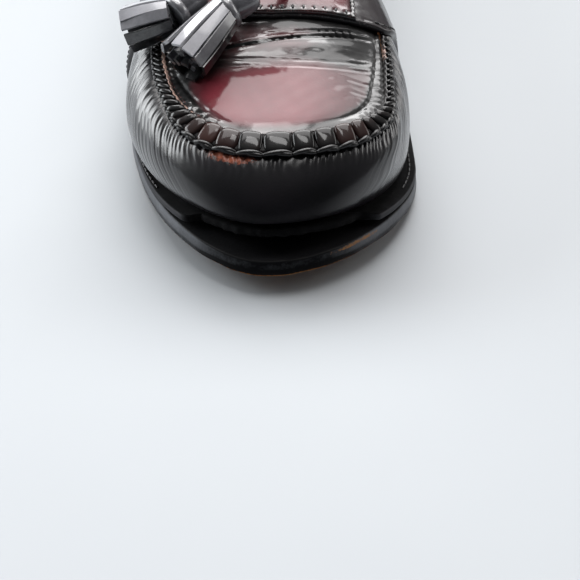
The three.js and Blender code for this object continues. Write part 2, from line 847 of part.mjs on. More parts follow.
function place(group, name, geometry, material) {
  const mesh = new THREE.Mesh(geometry, material);
  mesh.name = name;
  group.add(mesh);
}

const fixed = new THREE.Group();
place(fixed, "outsole", outsoleGeometry(), materials.outsole);
place(fixed, "welt", weltGeometry(), materials.welt);
place(fixed, "heel_stack", heelStackGeometry(), materials.heel);
place(fixed, "top_lift", topLiftGeometry(), materials.topLift);
place(fixed, "insole", insoleGeometry(), materials.lining);
place(fixed, "upper", upperGeometry(), materials.upper);
place(fixed, "plug", plugGeometry(), materials.plug);
place(fixed, "tongue", tongueGeometry(), materials.plug);
place(fixed, "apron_seam", seamGeometry(), materials.seam);
place(fixed, "saddle", saddleGeometry(), materials.saddle);
place(fixed, "saddle_tab", tabGeometry(), materials.tab);
place(fixed, "backstay", backstayGeometry(), materials.saddle);
place(fixed, "collar_band_outer", collarBandGeometry(-1), materials.saddle);
place(fixed, "collar_band_inner", collarBandGeometry(1), materials.saddle);
place(fixed, "lace_bar_outer", laceBarGeometry(-1), materials.lace);
place(fixed, "lace_bar_inner", laceBarGeometry(1), materials.lace);

const free = new THREE.Group();
place(free, "lace_knot", knotGeometry(), materials.lace);
place(free, "lace_end_near", tubeGeometry(nearLacePath, laceDiameter), materials.lace);
place(free, "lace_end_outer", tubeGeometry(outerLacePath, laceDiameter), materials.lace);
place(free, "tassel_near", tasselGeometry(nearTassel), materials.tassel);
place(free, "tassel_outer", tasselGeometry(outerTassel), materials.tassel);

// The origin is the middle of the underside of the box round the shoe without its free ends
const box = new THREE.Box3().setFromObject(fixed, true);
const middle = box.getCenter(new THREE.Vector3());
const shoe = new THREE.Group();
shoe.add(fixed, free);
shoe.position.set(-middle.x, -middle.y, -box.min.z);

export default shoe;
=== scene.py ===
# %% [markdown]
# # A tassel loafer, worn and polished
# A loafer is lasted leather: one bent wall from the sole to a gathered seam, a smooth apron on
# top, a saddle across the instep and two tassels on a knotted lace. The solids of the frame
# carry the sizes. This script dresses them with finer meshes from the same curves, so every
# piece lies where its solid lies.

# %% Load the frame and keep its box
import math

import bpy
import numpy as np
from mathutils import Matrix, Vector


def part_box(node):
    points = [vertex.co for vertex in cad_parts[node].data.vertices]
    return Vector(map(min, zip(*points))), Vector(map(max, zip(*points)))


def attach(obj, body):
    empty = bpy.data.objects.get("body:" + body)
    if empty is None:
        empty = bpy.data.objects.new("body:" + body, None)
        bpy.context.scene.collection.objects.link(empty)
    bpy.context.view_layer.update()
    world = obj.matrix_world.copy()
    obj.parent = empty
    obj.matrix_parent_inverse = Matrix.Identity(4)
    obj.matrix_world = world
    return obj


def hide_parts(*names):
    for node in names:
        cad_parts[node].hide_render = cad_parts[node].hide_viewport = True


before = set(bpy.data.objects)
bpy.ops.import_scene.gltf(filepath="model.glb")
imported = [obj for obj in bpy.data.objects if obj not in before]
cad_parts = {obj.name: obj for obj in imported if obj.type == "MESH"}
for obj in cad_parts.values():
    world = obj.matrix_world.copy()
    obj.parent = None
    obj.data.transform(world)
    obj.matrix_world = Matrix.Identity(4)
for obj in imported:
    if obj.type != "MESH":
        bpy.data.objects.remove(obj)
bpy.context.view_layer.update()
print("nodes in the frame:", len(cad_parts))

# %% [markdown]
# ## The last
# A shoemaker starts from a last, the wooden foot inside the shoe. Here the last is a handful of
# short tables: half widths, heights and bends along the length. Every function takes arrays, so
# one call gives a whole grid of points. Lengths are millimetres, y runs from the toe tip back.

# %% Driving sizes and tables
SHOE_LENGTH = 300.0
BALL_WIDTH = 104.0
INSTEP_HEIGHT = 70.0
TOE_SPRING = 12.0
HEEL_HEIGHT = 24.0
OUTSOLE = 6.5
WELT = 3.0
INSOLE = 2.5
TOP_LIFT = 6.0
HEEL_LENGTH = 70.0
HEEL_TAPER = 1.6
MOUTH_OPENING = 6.0
MOUTH_LENGTH = 36.0
UPPER_WALL = 2.2
PLUG_THICKNESS = 2.0
TONGUE_THICKNESS = 2.4
OVERLAY = 1.7
TAB = 1.2
SEAM_SETBACK = 26.0
HEEL_LEAN = 9.0
PLUG_END = 96.0
TONGUE_START = 97.5
TONGUE_END = 150.0
TONGUE_RISE = 24.0
TAB_WIDTH = 57.0
CLEARANCE = 0.3
LAYER_GAP = 0.45
TOP_SPAN = SHOE_LENGTH - HEEL_LEAN - SEAM_SETBACK


def table(columns, rows):
    names = columns.split()
    return {name: np.array([row[i] for row in rows], float) for i, name in enumerate(names)}


SOLE = table("at lateral medial", [
    (0.0, 0.48, 0.5), (0.12, 0.485, 0.503), (0.2, 0.488, 0.506), (0.28, 0.492, 0.498),
    (0.36, 0.492, 0.455), (0.45, 0.468, 0.375), (0.55, 0.42, 0.305), (0.65, 0.375, 0.285),
    (0.75, 0.35, 0.3), (0.85, 0.34, 0.32), (0.93, 0.332, 0.325), (1.0, 0.325, 0.32),
])
RISE = table("at toe heel", [
    (0.0, 1.0, 0.0), (0.05, 0.71, 0.0), (0.1, 0.43, 0.0), (0.15, 0.21, 0.0), (0.2, 0.067, 0.0),
    (0.25, 0.0, 0.0), (0.4, 0.0, 0.0), (0.48, 0.0, 0.083), (0.57, 0.0, 0.375),
    (0.66, 0.0, 0.708), (0.74, 0.0, 0.896), (0.85, 0.0, 0.958), (1.0, 0.0, 1.0),
])
TOP_LINE = table("at lateral medial height crown", [
    (0.0, 0.365, 0.4, 0.579, 0.0), (0.05, 0.362, 0.402, 0.593, 0.05),
    (0.12, 0.36, 0.402, 0.636, 0.086), (0.2, 0.355, 0.39, 0.7, 0.121),
    (0.27, 0.33, 0.345, 0.785, 0.15), (0.34, 0.3, 0.3, 0.89, 0.165),
    (0.4, 0.3, 0.275, 0.985, 0.171), (0.46, 0.315, 0.27, 1.0, 0.171),
    (0.55, 0.33, 0.275, 0.957, 0.171), (0.65, 0.332, 0.28, 0.914, 0.171),
    (0.78, 0.315, 0.29, 0.93, 0.171), (0.9, 0.285, 0.285, 1.057, 0.171),
    (1.0, 0.27, 0.27, 1.186, 0.171),
])
WALL = table("at inset low_out low_up high_out high_down", [
    (0.0, 0.087, 0.087, 0.019, 0.125, 0.01), (0.1, 0.077, 0.087, 0.029, 0.125, 0.019),
    (0.2, 0.062, 0.087, 0.048, 0.112, 0.038), (0.3, 0.052, 0.08, 0.08, 0.09, 0.085),
    (0.4, 0.047, 0.07, 0.115, 0.065, 0.15), (0.55, 0.042, 0.048, 0.135, 0.048, 0.173),
    (0.7, 0.037, 0.04, 0.135, 0.03, 0.173), (0.85, 0.034, 0.055, 0.155, 0.022, 0.19),
    (1.0, 0.038, 0.075, 0.175, 0.012, 0.19),
])
SADDLE = table("at front back", [
    (0.0, 0.36, 0.47), (0.5, 0.325, 0.425), (1.0, 0.272, 0.393), (2.0, 0.262, 0.385),
])
SOLE_TOE = {-1: (0.31, 1.8), 1: (0.2, 1.9)}
SEAM_NOSE = {-1: (0.205, 2.2), 1: (0.09, 2.2)}
HEEL_ROUND = (0.13, 2.1)
SIDE_BULGE = 0.24
BULGE_START = 0.3


# %% [markdown]
# ### Curves through the tables
# A spline through a table must not swing past its rows, or the leather would ripple. The
# cubic below takes the harmonic mean of the slopes on both sides, which never overshoots.

# %% Curves through the tables
def smooth(rows, column, share):
    at, values = rows["at"], rows[column]
    share = np.clip(np.asarray(share, float), at[0], at[-1])
    slope = np.diff(values) / np.diff(at)
    tangent = np.empty_like(values)
    tangent[0], tangent[-1] = slope[0], slope[-1]
    product = slope[:-1] * slope[1:]
    total = np.where(product > 0, slope[:-1] + slope[1:], 1.0)
    tangent[1:-1] = np.where(product > 0, 2 * product / total, 0.0)
    i = np.clip(np.searchsorted(at, share, side="right") - 1, 0, len(at) - 2)
    span = at[i + 1] - at[i]
    s = (share - at[i]) / span
    start = values[i] * (2 * s**3 - 3 * s**2 + 1) + tangent[i] * span * (s**3 - 2 * s**2 + s)
    end = values[i + 1] * (3 * s**2 - 2 * s**3) + tangent[i + 1] * span * (s**3 - s**2)
    return start + end


def round_end(distance, share, power):
    left = np.clip(1 - distance / share, 0, 1)
    return (1 - left**power) ** (1 / power)


def by_side(sign, outer, inner):
    return np.where(sign < 0, outer, inner)


def around(u):
    turn = u - 2 * np.floor((u + 1) / 2)
    return np.where(turn < 0, -1, 1), (1 - np.cos(np.pi * turn)) / 2, np.abs(turn)


def rounded(sign, along, ends):
    outer = round_end(along, *ends[-1])
    inner = round_end(along, *ends[1])
    return by_side(sign, outer, inner) * round_end(1 - along, *HEEL_ROUND)


def sole_point(u):
    sign, along, _ = around(u)
    half = by_side(sign, smooth(SOLE, "lateral", along), smooth(SOLE, "medial", along))
    half = BALL_WIDTH * half * rounded(sign, along, SOLE_TOE)
    return np.stack([sign * half, SHOE_LENGTH * along], -1)


def sole_outward(u):
    run = sole_point(u + 0.002) - sole_point(u - 0.002)
    run /= np.linalg.norm(run, axis=-1, keepdims=True)
    return np.stack([run[..., 1], -run[..., 0]], -1)


def sole_rise(along):
    return TOE_SPRING * smooth(RISE, "toe", along) + HEEL_HEIGHT * smooth(RISE, "heel", along)


def welt_top(along):
    return sole_rise(along) + OUTSOLE + WELT


def top_half(sign, along):
    half = by_side(sign, smooth(TOP_LINE, "lateral", along), smooth(TOP_LINE, "medial", along))
    return BALL_WIDTH * half * rounded(sign, along, SEAM_NOSE)


def top_edge(u):
    sign, along, _ = around(u)
    height = INSTEP_HEIGHT * smooth(TOP_LINE, "height", along)
    return np.stack([sign * top_half(sign, along), SEAM_SETBACK + TOP_SPAN * along, height], -1)


def wall_point(u, b):
    u, b = np.broadcast_arrays(np.asarray(u, float), np.asarray(b, float))
    sign, along, turn = around(u)
    outward = sole_outward(u)
    ease = np.minimum(1, np.minimum(turn, 1 - turn) / BULGE_START)
    bulge = 1 - sign * SIDE_BULGE * np.sin(ease * np.pi / 2)
    size = {name: BALL_WIDTH * smooth(WALL, name, along) for name in WALL if name != "at"}
    out = np.concatenate([outward, np.zeros_like(u)[..., None]], -1)
    up = np.array([0.0, 0.0, 1.0])
    foot = sole_point(u) - outward * size["inset"][..., None]
    low = np.concatenate([foot, (welt_top(along) + CLEARANCE)[..., None]], -1)
    high = top_edge(u)
    low_handle = low + out * (size["low_out"] * bulge)[..., None] + up * size["low_up"][..., None]
    high_handle = high + out * (size["high_out"] * bulge)[..., None] - up * size["high_down"][..., None]
    b = b[..., None]
    return (1 - b)**3 * low + 3 * (1 - b)**2 * b * low_handle + 3 * (1 - b) * b**2 * high_handle + b**3 * high


def unit(vectors):
    return vectors / np.maximum(np.linalg.norm(vectors, axis=-1, keepdims=True), 1e-12)


def wall_normal(u, b):
    b = np.asarray(b, float)
    step = 0.004
    run_u = wall_point(u + step, b) - wall_point(u - step, b)
    run_b = wall_point(u, np.minimum(b + step, 1)) - wall_point(u, np.maximum(b - step, 0))
    return unit(np.cross(run_u, run_b))


def vamp_point(y, c, inset=0.0):
    y, c = np.broadcast_arrays(np.asarray(y, float), np.asarray(c, float))
    along = np.clip((y - SEAM_SETBACK) / TOP_SPAN, 0, 1)
    edge = np.maximum(along - inset / TOP_SPAN, 0)
    left = np.maximum(top_half(-1, edge) - inset, 0)
    right = np.maximum(top_half(1, edge) - inset, 0)
    crown = smooth(TOP_LINE, "crown", along) * (1 - np.abs(2 * c - 1)**2.2)
    height = INSTEP_HEIGHT * (smooth(TOP_LINE, "height", along) + crown)
    return np.stack([-left + (left + right) * c, y, height], -1)


def vamp_normal(y, c):
    y = np.maximum(y, SEAM_SETBACK + 1.5)
    forward = vamp_point(y + 0.5, c) - vamp_point(y - 0.5, c)
    across = vamp_point(y, np.minimum(c + 0.01, 1)) - vamp_point(y, np.maximum(c - 0.01, 0))
    return unit(np.cross(across, forward))


def wall_line_at(sign, b, y):
    y, b = np.broadcast_arrays(np.asarray(y, float), np.asarray(b, float))
    front, back = np.zeros_like(y), np.ones_like(y)
    for _ in range(24):
        middle = (front + back) / 2
        before = wall_point(sign * middle, b)[..., 1] < y
        front, back = np.where(before, middle, front), np.where(before, back, middle)
    return sign * (front + back) / 2


def over_point(v, y):
    v, y = np.broadcast_arrays(np.asarray(v, float), np.asarray(y, float))
    on_vamp = vamp_point(y, np.clip((v + 1) / 2, 0, 1))
    sign = np.where(v < 0, -1.0, 1.0)
    b = np.clip(2 - np.abs(v), 0, 1)
    on_wall = wall_point(wall_line_at(sign, b, y), b)
    return np.where((np.abs(v) <= 1)[..., None], on_vamp, on_wall)


def over_normal(v, y):
    across = over_point(np.minimum(v + 0.03, 2), y) - over_point(np.maximum(v - 0.03, -2), y)
    along = over_point(v, y + 0.6) - over_point(v, y - 0.6)
    return unit(np.cross(across, along))


def saddle_y(v, share):
    at = 2 - np.abs(v)
    front = SHOE_LENGTH * smooth(SADDLE, "front", at)
    back = SHOE_LENGTH * smooth(SADDLE, "back", at)
    return front + (back - front) * share


# %% [markdown]
# ### From the last to the frame
# The frame puts its origin under the middle of the shoe. The outsole's box says how far that is
# from the toe tip, so no offset is typed by hand.

# %% From the last to the frame
stations = np.linspace(0, 1, 35)
outsole_low = np.array(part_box("outsole")[0]) * 1000
SHIFT = np.array([outsole_low[0] - sole_point(-stations)[:, 0].min(), outsole_low[1], 0.0])
print("toe tip in the frame, mm:", np.round(SHIFT, 3))


def to_frame(points):
    return (np.asarray(points, float) + SHIFT) / 1000

# %% [markdown]
# ## Camera and floor
# The photograph looks down on the toe at 38 degrees, from about 0.6 m, and cuts the shoe off
# behind the saddle's front edge. The focal length follows from how wide the sole's ball is in it.

# %% Camera and floor
IMAGE = 580
CAMERA_DISTANCE = 600.0
CAMERA_PITCH = math.radians(38)
FOCAL_PIXELS = 1830.0
CAMERA_TARGET = np.array([8.146, 0.584, 0.747])

camera_data = bpy.data.cameras.new("camera")
camera_data.sensor_fit = "HORIZONTAL"
camera_data.sensor_width = 36.0
camera_data.lens = 36.0 * FOCAL_PIXELS / IMAGE
camera_data.clip_start = 0.01
camera = bpy.data.objects.new("camera", camera_data)
bpy.context.collection.objects.link(camera)
back = np.array([0.0, -math.cos(CAMERA_PITCH), math.sin(CAMERA_PITCH)])
camera.location = to_frame(CAMERA_TARGET + back * CAMERA_DISTANCE)
camera.rotation_euler = (math.pi / 2 - CAMERA_PITCH, 0, 0)
bpy.context.scene.camera = camera
print("camera at", tuple(round(v, 3) for v in camera.location))

# %% [markdown]
# ## From points to meshes
# Each piece is a grid of points, or a few of them. A leather piece is two grids, its grain side
# and its flesh side, closed along the border. Points that meet are welded, so edges have no
# gaps, and the sign of the volume says whether the faces look outward.

# %% From points to meshes
def grid_faces(rows, columns, ring=False):
    index = np.arange(rows * columns).reshape(rows, columns)
    if ring:
        index = np.vstack([index, index[:1]])
    return np.stack([index[:-1, :-1], index[1:, :-1], index[1:, 1:], index[:-1, 1:]], -1).reshape(-1, 4)


def shell(outer, inner, ring=False):
    """The two sheets have the same rows. On a ring the inner one may have fewer columns."""
    rows, columns = outer.shape[:2]
    top = np.arange(rows * columns).reshape(rows, columns)
    low = np.arange(rows * inner.shape[1]).reshape(rows, -1) + rows * columns
    faces = [grid_faces(rows, columns, ring), grid_faces(rows, inner.shape[1], ring)[:, ::-1] + rows * columns]
    if not ring:
        faces.append(np.stack([top[0, :-1], top[0, 1:], low[0, 1:], low[0, :-1]], -1))
        faces.append(np.stack([top[-1, 1:], top[-1, :-1], low[-1, :-1], low[-1, 1:]], -1))
    else:
        top, low = np.vstack([top, top[:1]]), np.vstack([low, low[:1]])
    faces.append(np.stack([top[1:, 0], top[:-1, 0], low[:-1, 0], low[1:, 0]], -1))
    faces.append(np.stack([top[:-1, -1], top[1:, -1], low[1:, -1], low[:-1, -1]], -1))
    return np.concatenate([outer.reshape(-1, 3), inner.reshape(-1, 3)]), np.concatenate(faces)


def both_sides(values, inner=None):
    return np.concatenate([np.ravel(values), np.ravel(values if inner is None else inner)])


def merged(parts):
    points, faces, start = [], [], 0
    for some_points, some_faces in parts:
        points.append(some_points)
        faces.extend([[int(k) + start for k in face] for face in some_faces])
        start += len(some_points)
    return np.concatenate(points), faces


def welded(points, faces):
    keys = np.round(points * 2000).astype(np.int64)
    _, first, remap = np.unique(keys, axis=0, return_index=True, return_inverse=True)
    remap = remap.ravel()
    kept = []
    for face in faces:
        corners = [int(remap[k]) for k in face]
        corners = [c for i, c in enumerate(corners) if c != corners[i - 1]]
        if len(set(corners)) == len(corners) and len(corners) > 2:
            kept.append(corners)
    return first, kept


def signed_volume(points, faces):
    total = 0.0
    for size in {len(face) for face in faces}:
        corners = points[np.array([face for face in faces if len(face) == size])]
        for k in range(1, size - 1):
            total += np.einsum("ij,ij->", corners[:, 0], np.cross(corners[:, k], corners[:, k + 1]))
    return total / 6


def build(name, points, faces, fields=None, sharp=42):
    first, kept = welded(points, faces)
    points = points[first]
    if signed_volume(points - points.mean(0), kept) < 0:
        kept = [face[::-1] for face in kept]
    mesh = bpy.data.meshes.new(name)
    mesh.from_pydata(to_frame(points).tolist(), [], kept)
    mesh.shade_smooth()
    mesh.set_sharp_from_angle(angle=math.radians(sharp))
    for field, values in (fields or {}).items():
        layer = mesh.attributes.new(field, "FLOAT", "POINT")
        layer.data.foreach_set("value", np.asarray(values, np.float32).ravel()[first])
    piece = bpy.data.objects.new(name, mesh)
    bpy.context.collection.objects.link(piece)
    return piece


def finish_piece(piece, material, slot, *nodes):
    if not piece.data.materials:
        piece.data.materials.append(material)
    if nodes:
        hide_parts(*nodes)
    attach(piece, "root")
    print(f"{piece.name}: {len(piece.data.polygons)} faces")


# %% [markdown]
# ### Borders, bumps and smooth noise
# A cut edge is never square: it is skived, burnished and rubbed round. `rounded_run` gives the
# places along a strip and how high its surface stands there, a quarter circle at each border.
# `ripple` is a sum of a few fixed waves, so the same unevenness comes out on every run.

# %% Borders, bumps and smooth noise
def rounded_run(start, end, run, radius, count, sides=(True, True)):
    angles = np.linspace(0, np.pi / 2, 6)
    inset = (1 - np.cos(angles)) * radius / run
    body = np.linspace(inset[-1] if sides[0] else 0, 1 - inset[-1] if sides[1] else 1, count)
    places, heights = [body], [np.ones(count)]
    if sides[0]:
        places.insert(0, inset[:-1])
        heights.insert(0, np.sin(angles)[:-1])
    if sides[1]:
        places.append(1 - inset[:-1][::-1])
        heights.append(np.sin(angles)[:-1][::-1])
    return start + (end - start) * np.concatenate(places), np.concatenate(heights)


def ripple(a, b, size, seed=0):
    random = np.random.default_rng(seed)
    total = np.zeros(np.broadcast(a, b).shape)
    for _ in range(9):
        angle, phase = random.uniform(0, 2 * np.pi, 2)
        wave = 2 * np.pi / size * random.uniform(0.5, 1.9)
        total += np.sin((a * math.cos(angle) + b * math.sin(angle)) * wave + phase)
    return total / 5


def surface_normals(points, ring=False):
    if ring:
        along = np.roll(points, -1, 0) - np.roll(points, 1, 0)
    else:
        along = np.gradient(points, axis=0)
    return unit(np.cross(along, np.gradient(points, axis=1)))


def bell(distance, width):
    return np.exp(-((distance / width) ** 2))


def ramp(value, start, end):
    share = np.clip((value - start) / (end - start), 0, 1)
    return share * share * (3 - 2 * share)


# %% [markdown]
# ### Tubes and turned shapes
# Laces, threads and the cut strips of the tassels are one section carried along a path. The
# frames along the path come from one chosen direction, which keeps the section from rolling.

# %% Tubes and turned shapes
def catmull(points, count):
    points = np.asarray(points, float)
    ends = [2 * points[0] - points[1]], [2 * points[-1] - points[-2]]
    knots = np.concatenate([ends[0], points, ends[1]])
    places = np.linspace(0, len(points) - 1, count * 8)
    i = np.minimum(places.astype(int), len(points) - 2)
    t = (places - i)[:, None]
    a, b, c, d = (knots[i + k] for k in range(4))
    fine = 0.5 * (2 * b + (c - a) * t + (2 * a - 5 * b + 4 * c - d) * t**2 + (3 * b - a - 3 * c + d) * t**3)
    run = np.concatenate([[0], np.cumsum(np.linalg.norm(np.diff(fine, axis=0), axis=1))])
    even = np.linspace(0, run[-1], count)
    return np.stack([np.interp(even, run, fine[:, k]) for k in range(3)], -1), run[-1]


def frames(path, up):
    tangent = unit(np.gradient(path, axis=0))
    up = np.broadcast_to(np.asarray(up, float), path.shape)
    side = unit(np.cross(tangent, up))
    return tangent, side, unit(np.cross(side, tangent))


def sweep(path, side, up, section):
    """section: (k, 2) for one shape, or (n, k, 2) for one shape at each point of the path"""
    section = np.broadcast_to(section, (len(path),) + np.shape(section)[-2:])
    rings = path[:, None] + side[:, None] * section[..., :1] + up[:, None] * section[..., 1:]
    count, sides = rings.shape[:2]
    index = np.arange(count * sides).reshape(count, sides)
    closed = np.concatenate([index, index[:, :1]], 1)
    faces = np.stack([closed[:-1, :-1], closed[1:, :-1], closed[1:, 1:], closed[:-1, 1:]], -1).reshape(-1, 4)
    return rings.reshape(-1, 3), [list(face) for face in faces] + [list(index[0]), list(index[-1][::-1])]


def circle(radius, sides):
    angles = np.linspace(0, 2 * np.pi, sides, endpoint=False)
    return np.stack([radius * np.cos(angles), radius * np.sin(angles)], -1)


def tube(path, radius, sides=12, up=(0, 0, 1)):
    _, side, over = frames(path, up)
    return sweep(path, side, over, circle(radius, sides))


def turned(profile, start, towards, sides=48):
    """profile: (radius, place along the axis) from the start point on"""
    axis = unit(np.asarray(towards, float) - start)
    side = unit(np.cross(axis, [0.3, 0.1, 1.0]))
    over = np.cross(side, axis)
    ring = circle(1, sides)
    radius, place = np.array(profile, float).T
    points = start + axis * place[:, None, None]
    points = points + (side * ring[:, :1] + over * ring[:, 1:])[None] * radius[:, None, None]
    count = len(profile)
    index = np.arange(count * sides).reshape(count, sides)
    closed = np.concatenate([index, index[:, :1]], 1)
    faces = np.stack([closed[:-1, :-1], closed[1:, :-1], closed[1:, 1:], closed[:-1, 1:]], -1).reshape(-1, 4)
    return points.reshape(-1, 3), [list(face) for face in faces] + [list(index[0]), list(index[-1][::-1])]

# %% [markdown]
# ## Leather in nodes
# One pair of shoes, one polish, but every part of it has taken the polish differently. Four
# effects make the difference and each is a node group: the grain of the skin, the patina from
# burgundy to black, the rubbed and scraped places, and the dust. On some pieces the patina's
# tone also carries painted shade and painted sheen: the mouth at the toe, the apron near the
# tassels and the tassel strips. The meshes carry the masks as attributes, so the colour
# follows the leather and not the view.

# %% Small helpers for node trees
def rgb(red, green, blue):
    def linear(value):
        value /= 255
        return value / 12.92 if value <= 0.04045 else ((value + 0.055) / 1.055) ** 2.4
    return (linear(red), linear(green), linear(blue), 1.0)


def add(tree, kind, inputs=None, **settings):
    node = tree.nodes.new(kind)
    for key, value in settings.items():
        setattr(node, key, value)
    for key, value in (inputs or {}).items():
        if isinstance(value, bpy.types.NodeSocket):
            tree.links.new(value, node.inputs[key])
        else:
            node.inputs[key].default_value = value
    return node


def new_group(name, inputs, outputs):
    tree = bpy.data.node_groups.new(name, "ShaderNodeTree")
    for title, kind, value in inputs:
        socket = tree.interface.new_socket(name=title, in_out="INPUT", socket_type="NodeSocket" + kind)
        if value is not None:
            socket.default_value = value
    for title, kind in outputs:
        tree.interface.new_socket(name=title, in_out="OUTPUT", socket_type="NodeSocket" + kind)
    return tree, tree.nodes.new("NodeGroupInput").outputs, tree.nodes.new("NodeGroupOutput").inputs


def math_node(tree, operation, a, b=0.0, clamp=False):
    return add(tree, "ShaderNodeMath", {0: a, 1: b}, operation=operation, use_clamp=clamp).outputs[0]


def blend_colours(tree, factor, a, b):
    mix = add(tree, "ShaderNodeMix", data_type="RGBA")
    for socket, value in ((mix.inputs[0], factor), (mix.inputs[6], a), (mix.inputs[7], b)):
        if isinstance(value, bpy.types.NodeSocket):
            tree.links.new(value, socket)
        else:
            socket.default_value = value
    return mix.outputs[2]


# %% The grain of calf: flat cells with fine creases between them
tree, given, put = new_group(
    "leather grain",
    [("Vector", "Vector", None), ("Cells per metre", "Float", 1400.0), ("Creases", "Float", 0.6)],
    [("Height", "Float")],
)
cells = add(tree, "ShaderNodeTexVoronoi", {"Vector": given["Vector"], "Scale": given["Cells per metre"]},
            feature="DISTANCE_TO_EDGE")
flat = add(tree, "ShaderNodeMapRange", {"Value": cells.outputs["Distance"], "From Max": 0.28})
fine_scale = math_node(tree, "MULTIPLY", given["Cells per metre"], 0.35)
fine = add(tree, "ShaderNodeTexNoise", {"Vector": given["Vector"], "Scale": fine_scale, "Detail": 3.0})
creased = math_node(tree, "MULTIPLY", flat.outputs[0], given["Creases"])
tree.links.new(math_node(tree, "ADD", creased, fine.outputs[0]), put["Height"])
grain_group = tree

# %% The patina: burgundy under black polish, cloudy where it was rubbed in; on some pieces its tone also carries painted shade
tree, given, put = new_group(
    "polish patina and painted shade",
    [("Vector", "Vector", None), ("Bright", "Color", None), ("Dark", "Color", None),
     ("Tone", "Float", 0.5), ("Clouds per metre", "Float", 90.0), ("Cloudiness", "Float", 0.5)],
    [("Color", "Color"), ("Depth", "Float")],
)
clouds = add(tree, "ShaderNodeTexNoise",
             {"Vector": given["Vector"], "Scale": given["Clouds per metre"], "Detail": 4.0, "Roughness": 0.6})
streak_scale = math_node(tree, "MULTIPLY", given["Clouds per metre"], 7.0)
streaks = add(tree, "ShaderNodeTexNoise", {"Vector": given["Vector"], "Scale": streak_scale, "Detail": 2.0})
both = math_node(tree, "ADD", math_node(tree, "MULTIPLY", clouds.outputs[0], 0.7),
                 math_node(tree, "MULTIPLY", streaks.outputs[0], 0.3))
shifted = math_node(tree, "MULTIPLY", math_node(tree, "SUBTRACT", both, 0.5), given["Cloudiness"])
depth = math_node(tree, "ADD", given["Tone"], shifted, clamp=True)
tree.links.new(blend_colours(tree, depth, given["Bright"], given["Dark"]), put["Color"])
tree.links.new(depth, put["Depth"])
patina_and_shade_group = tree

# %% Rubbed and scraped places: the polish breaks up into specks of bare leather
tree, given, put = new_group(
    "rubbed places",
    [("Vector", "Vector", None), ("Color", "Color", None), ("Roughness", "Float", 0.3),
     ("Bare", "Color", None), ("Wear", "Float", 0.0), ("Specks per metre", "Float", 900.0)],
    [("Color", "Color"), ("Roughness", "Float"), ("Mask", "Float")],
)
specks = add(tree, "ShaderNodeTexNoise",
             {"Vector": given["Vector"], "Scale": given["Specks per metre"], "Detail": 4.0, "Roughness": 0.7})
edge = math_node(tree, "SUBTRACT", math_node(tree, "MULTIPLY", given["Wear"], 1.35), specks.outputs[0])
mask = add(tree, "ShaderNodeMapRange", {"Value": edge, "From Min": -0.12, "From Max": 0.16}).outputs[0]
tree.links.new(blend_colours(tree, mask, given["Color"], given["Bare"]), put["Color"])
rough = math_node(tree, "ADD", given["Roughness"], math_node(tree, "MULTIPLY", mask, 0.35), clamp=True)
tree.links.new(rough, put["Roughness"])
tree.links.new(mask, put["Mask"])
rubbed_group = tree

# %% Dust: pale, matt and uneven, and it lies on what faces up
tree, given, put = new_group(
    "settled dust",
    [("Vector", "Vector", None), ("Color", "Color", None), ("Roughness", "Float", 0.3),
     ("Dust", "Color", None), ("Amount", "Float", 0.1)],
    [("Color", "Color"), ("Roughness", "Float")],
)
patches = add(tree, "ShaderNodeTexNoise", {"Vector": given["Vector"], "Scale": 160.0, "Detail": 6.0, "Roughness": 0.7})
normal = add(tree, "ShaderNodeNewGeometry").outputs["Normal"]
upward = add(tree, "ShaderNodeSeparateXYZ", {0: normal}).outputs[2]
facing = add(tree, "ShaderNodeMapRange", {"Value": upward, "From Min": -0.3, "From Max": 1.0}).outputs[0]
amount = math_node(tree, "MULTIPLY", math_node(tree, "MULTIPLY", patches.outputs[0], facing), given["Amount"], clamp=True)
tree.links.new(blend_colours(tree, amount, given["Color"], given["Dust"]), put["Color"])
tree.links.new(math_node(tree, "ADD", given["Roughness"], amount, clamp=True), put["Roughness"])
dust_group = tree
print("shader groups:", [group.name for group in bpy.data.node_groups])

# %% [markdown]
# ### One maker for all leathers
# The shader itself stays in each material. What is the same all over a piece, such as the
# strength of the wax coat, is set on the shader's own socket. What changes over it comes from
# the groups: colour, roughness and the grain's height.

# %% One maker for all leathers
DUST = rgb(150, 146, 142)


def group_node(tree, group, inputs):
    node = tree.nodes.new("ShaderNodeGroup")
    node.node_tree = group
    for key, value in inputs.items():
        if isinstance(value, bpy.types.NodeSocket):
            tree.links.new(value, node.inputs[key])
        else:
            node.inputs[key].default_value = value
    return node.outputs


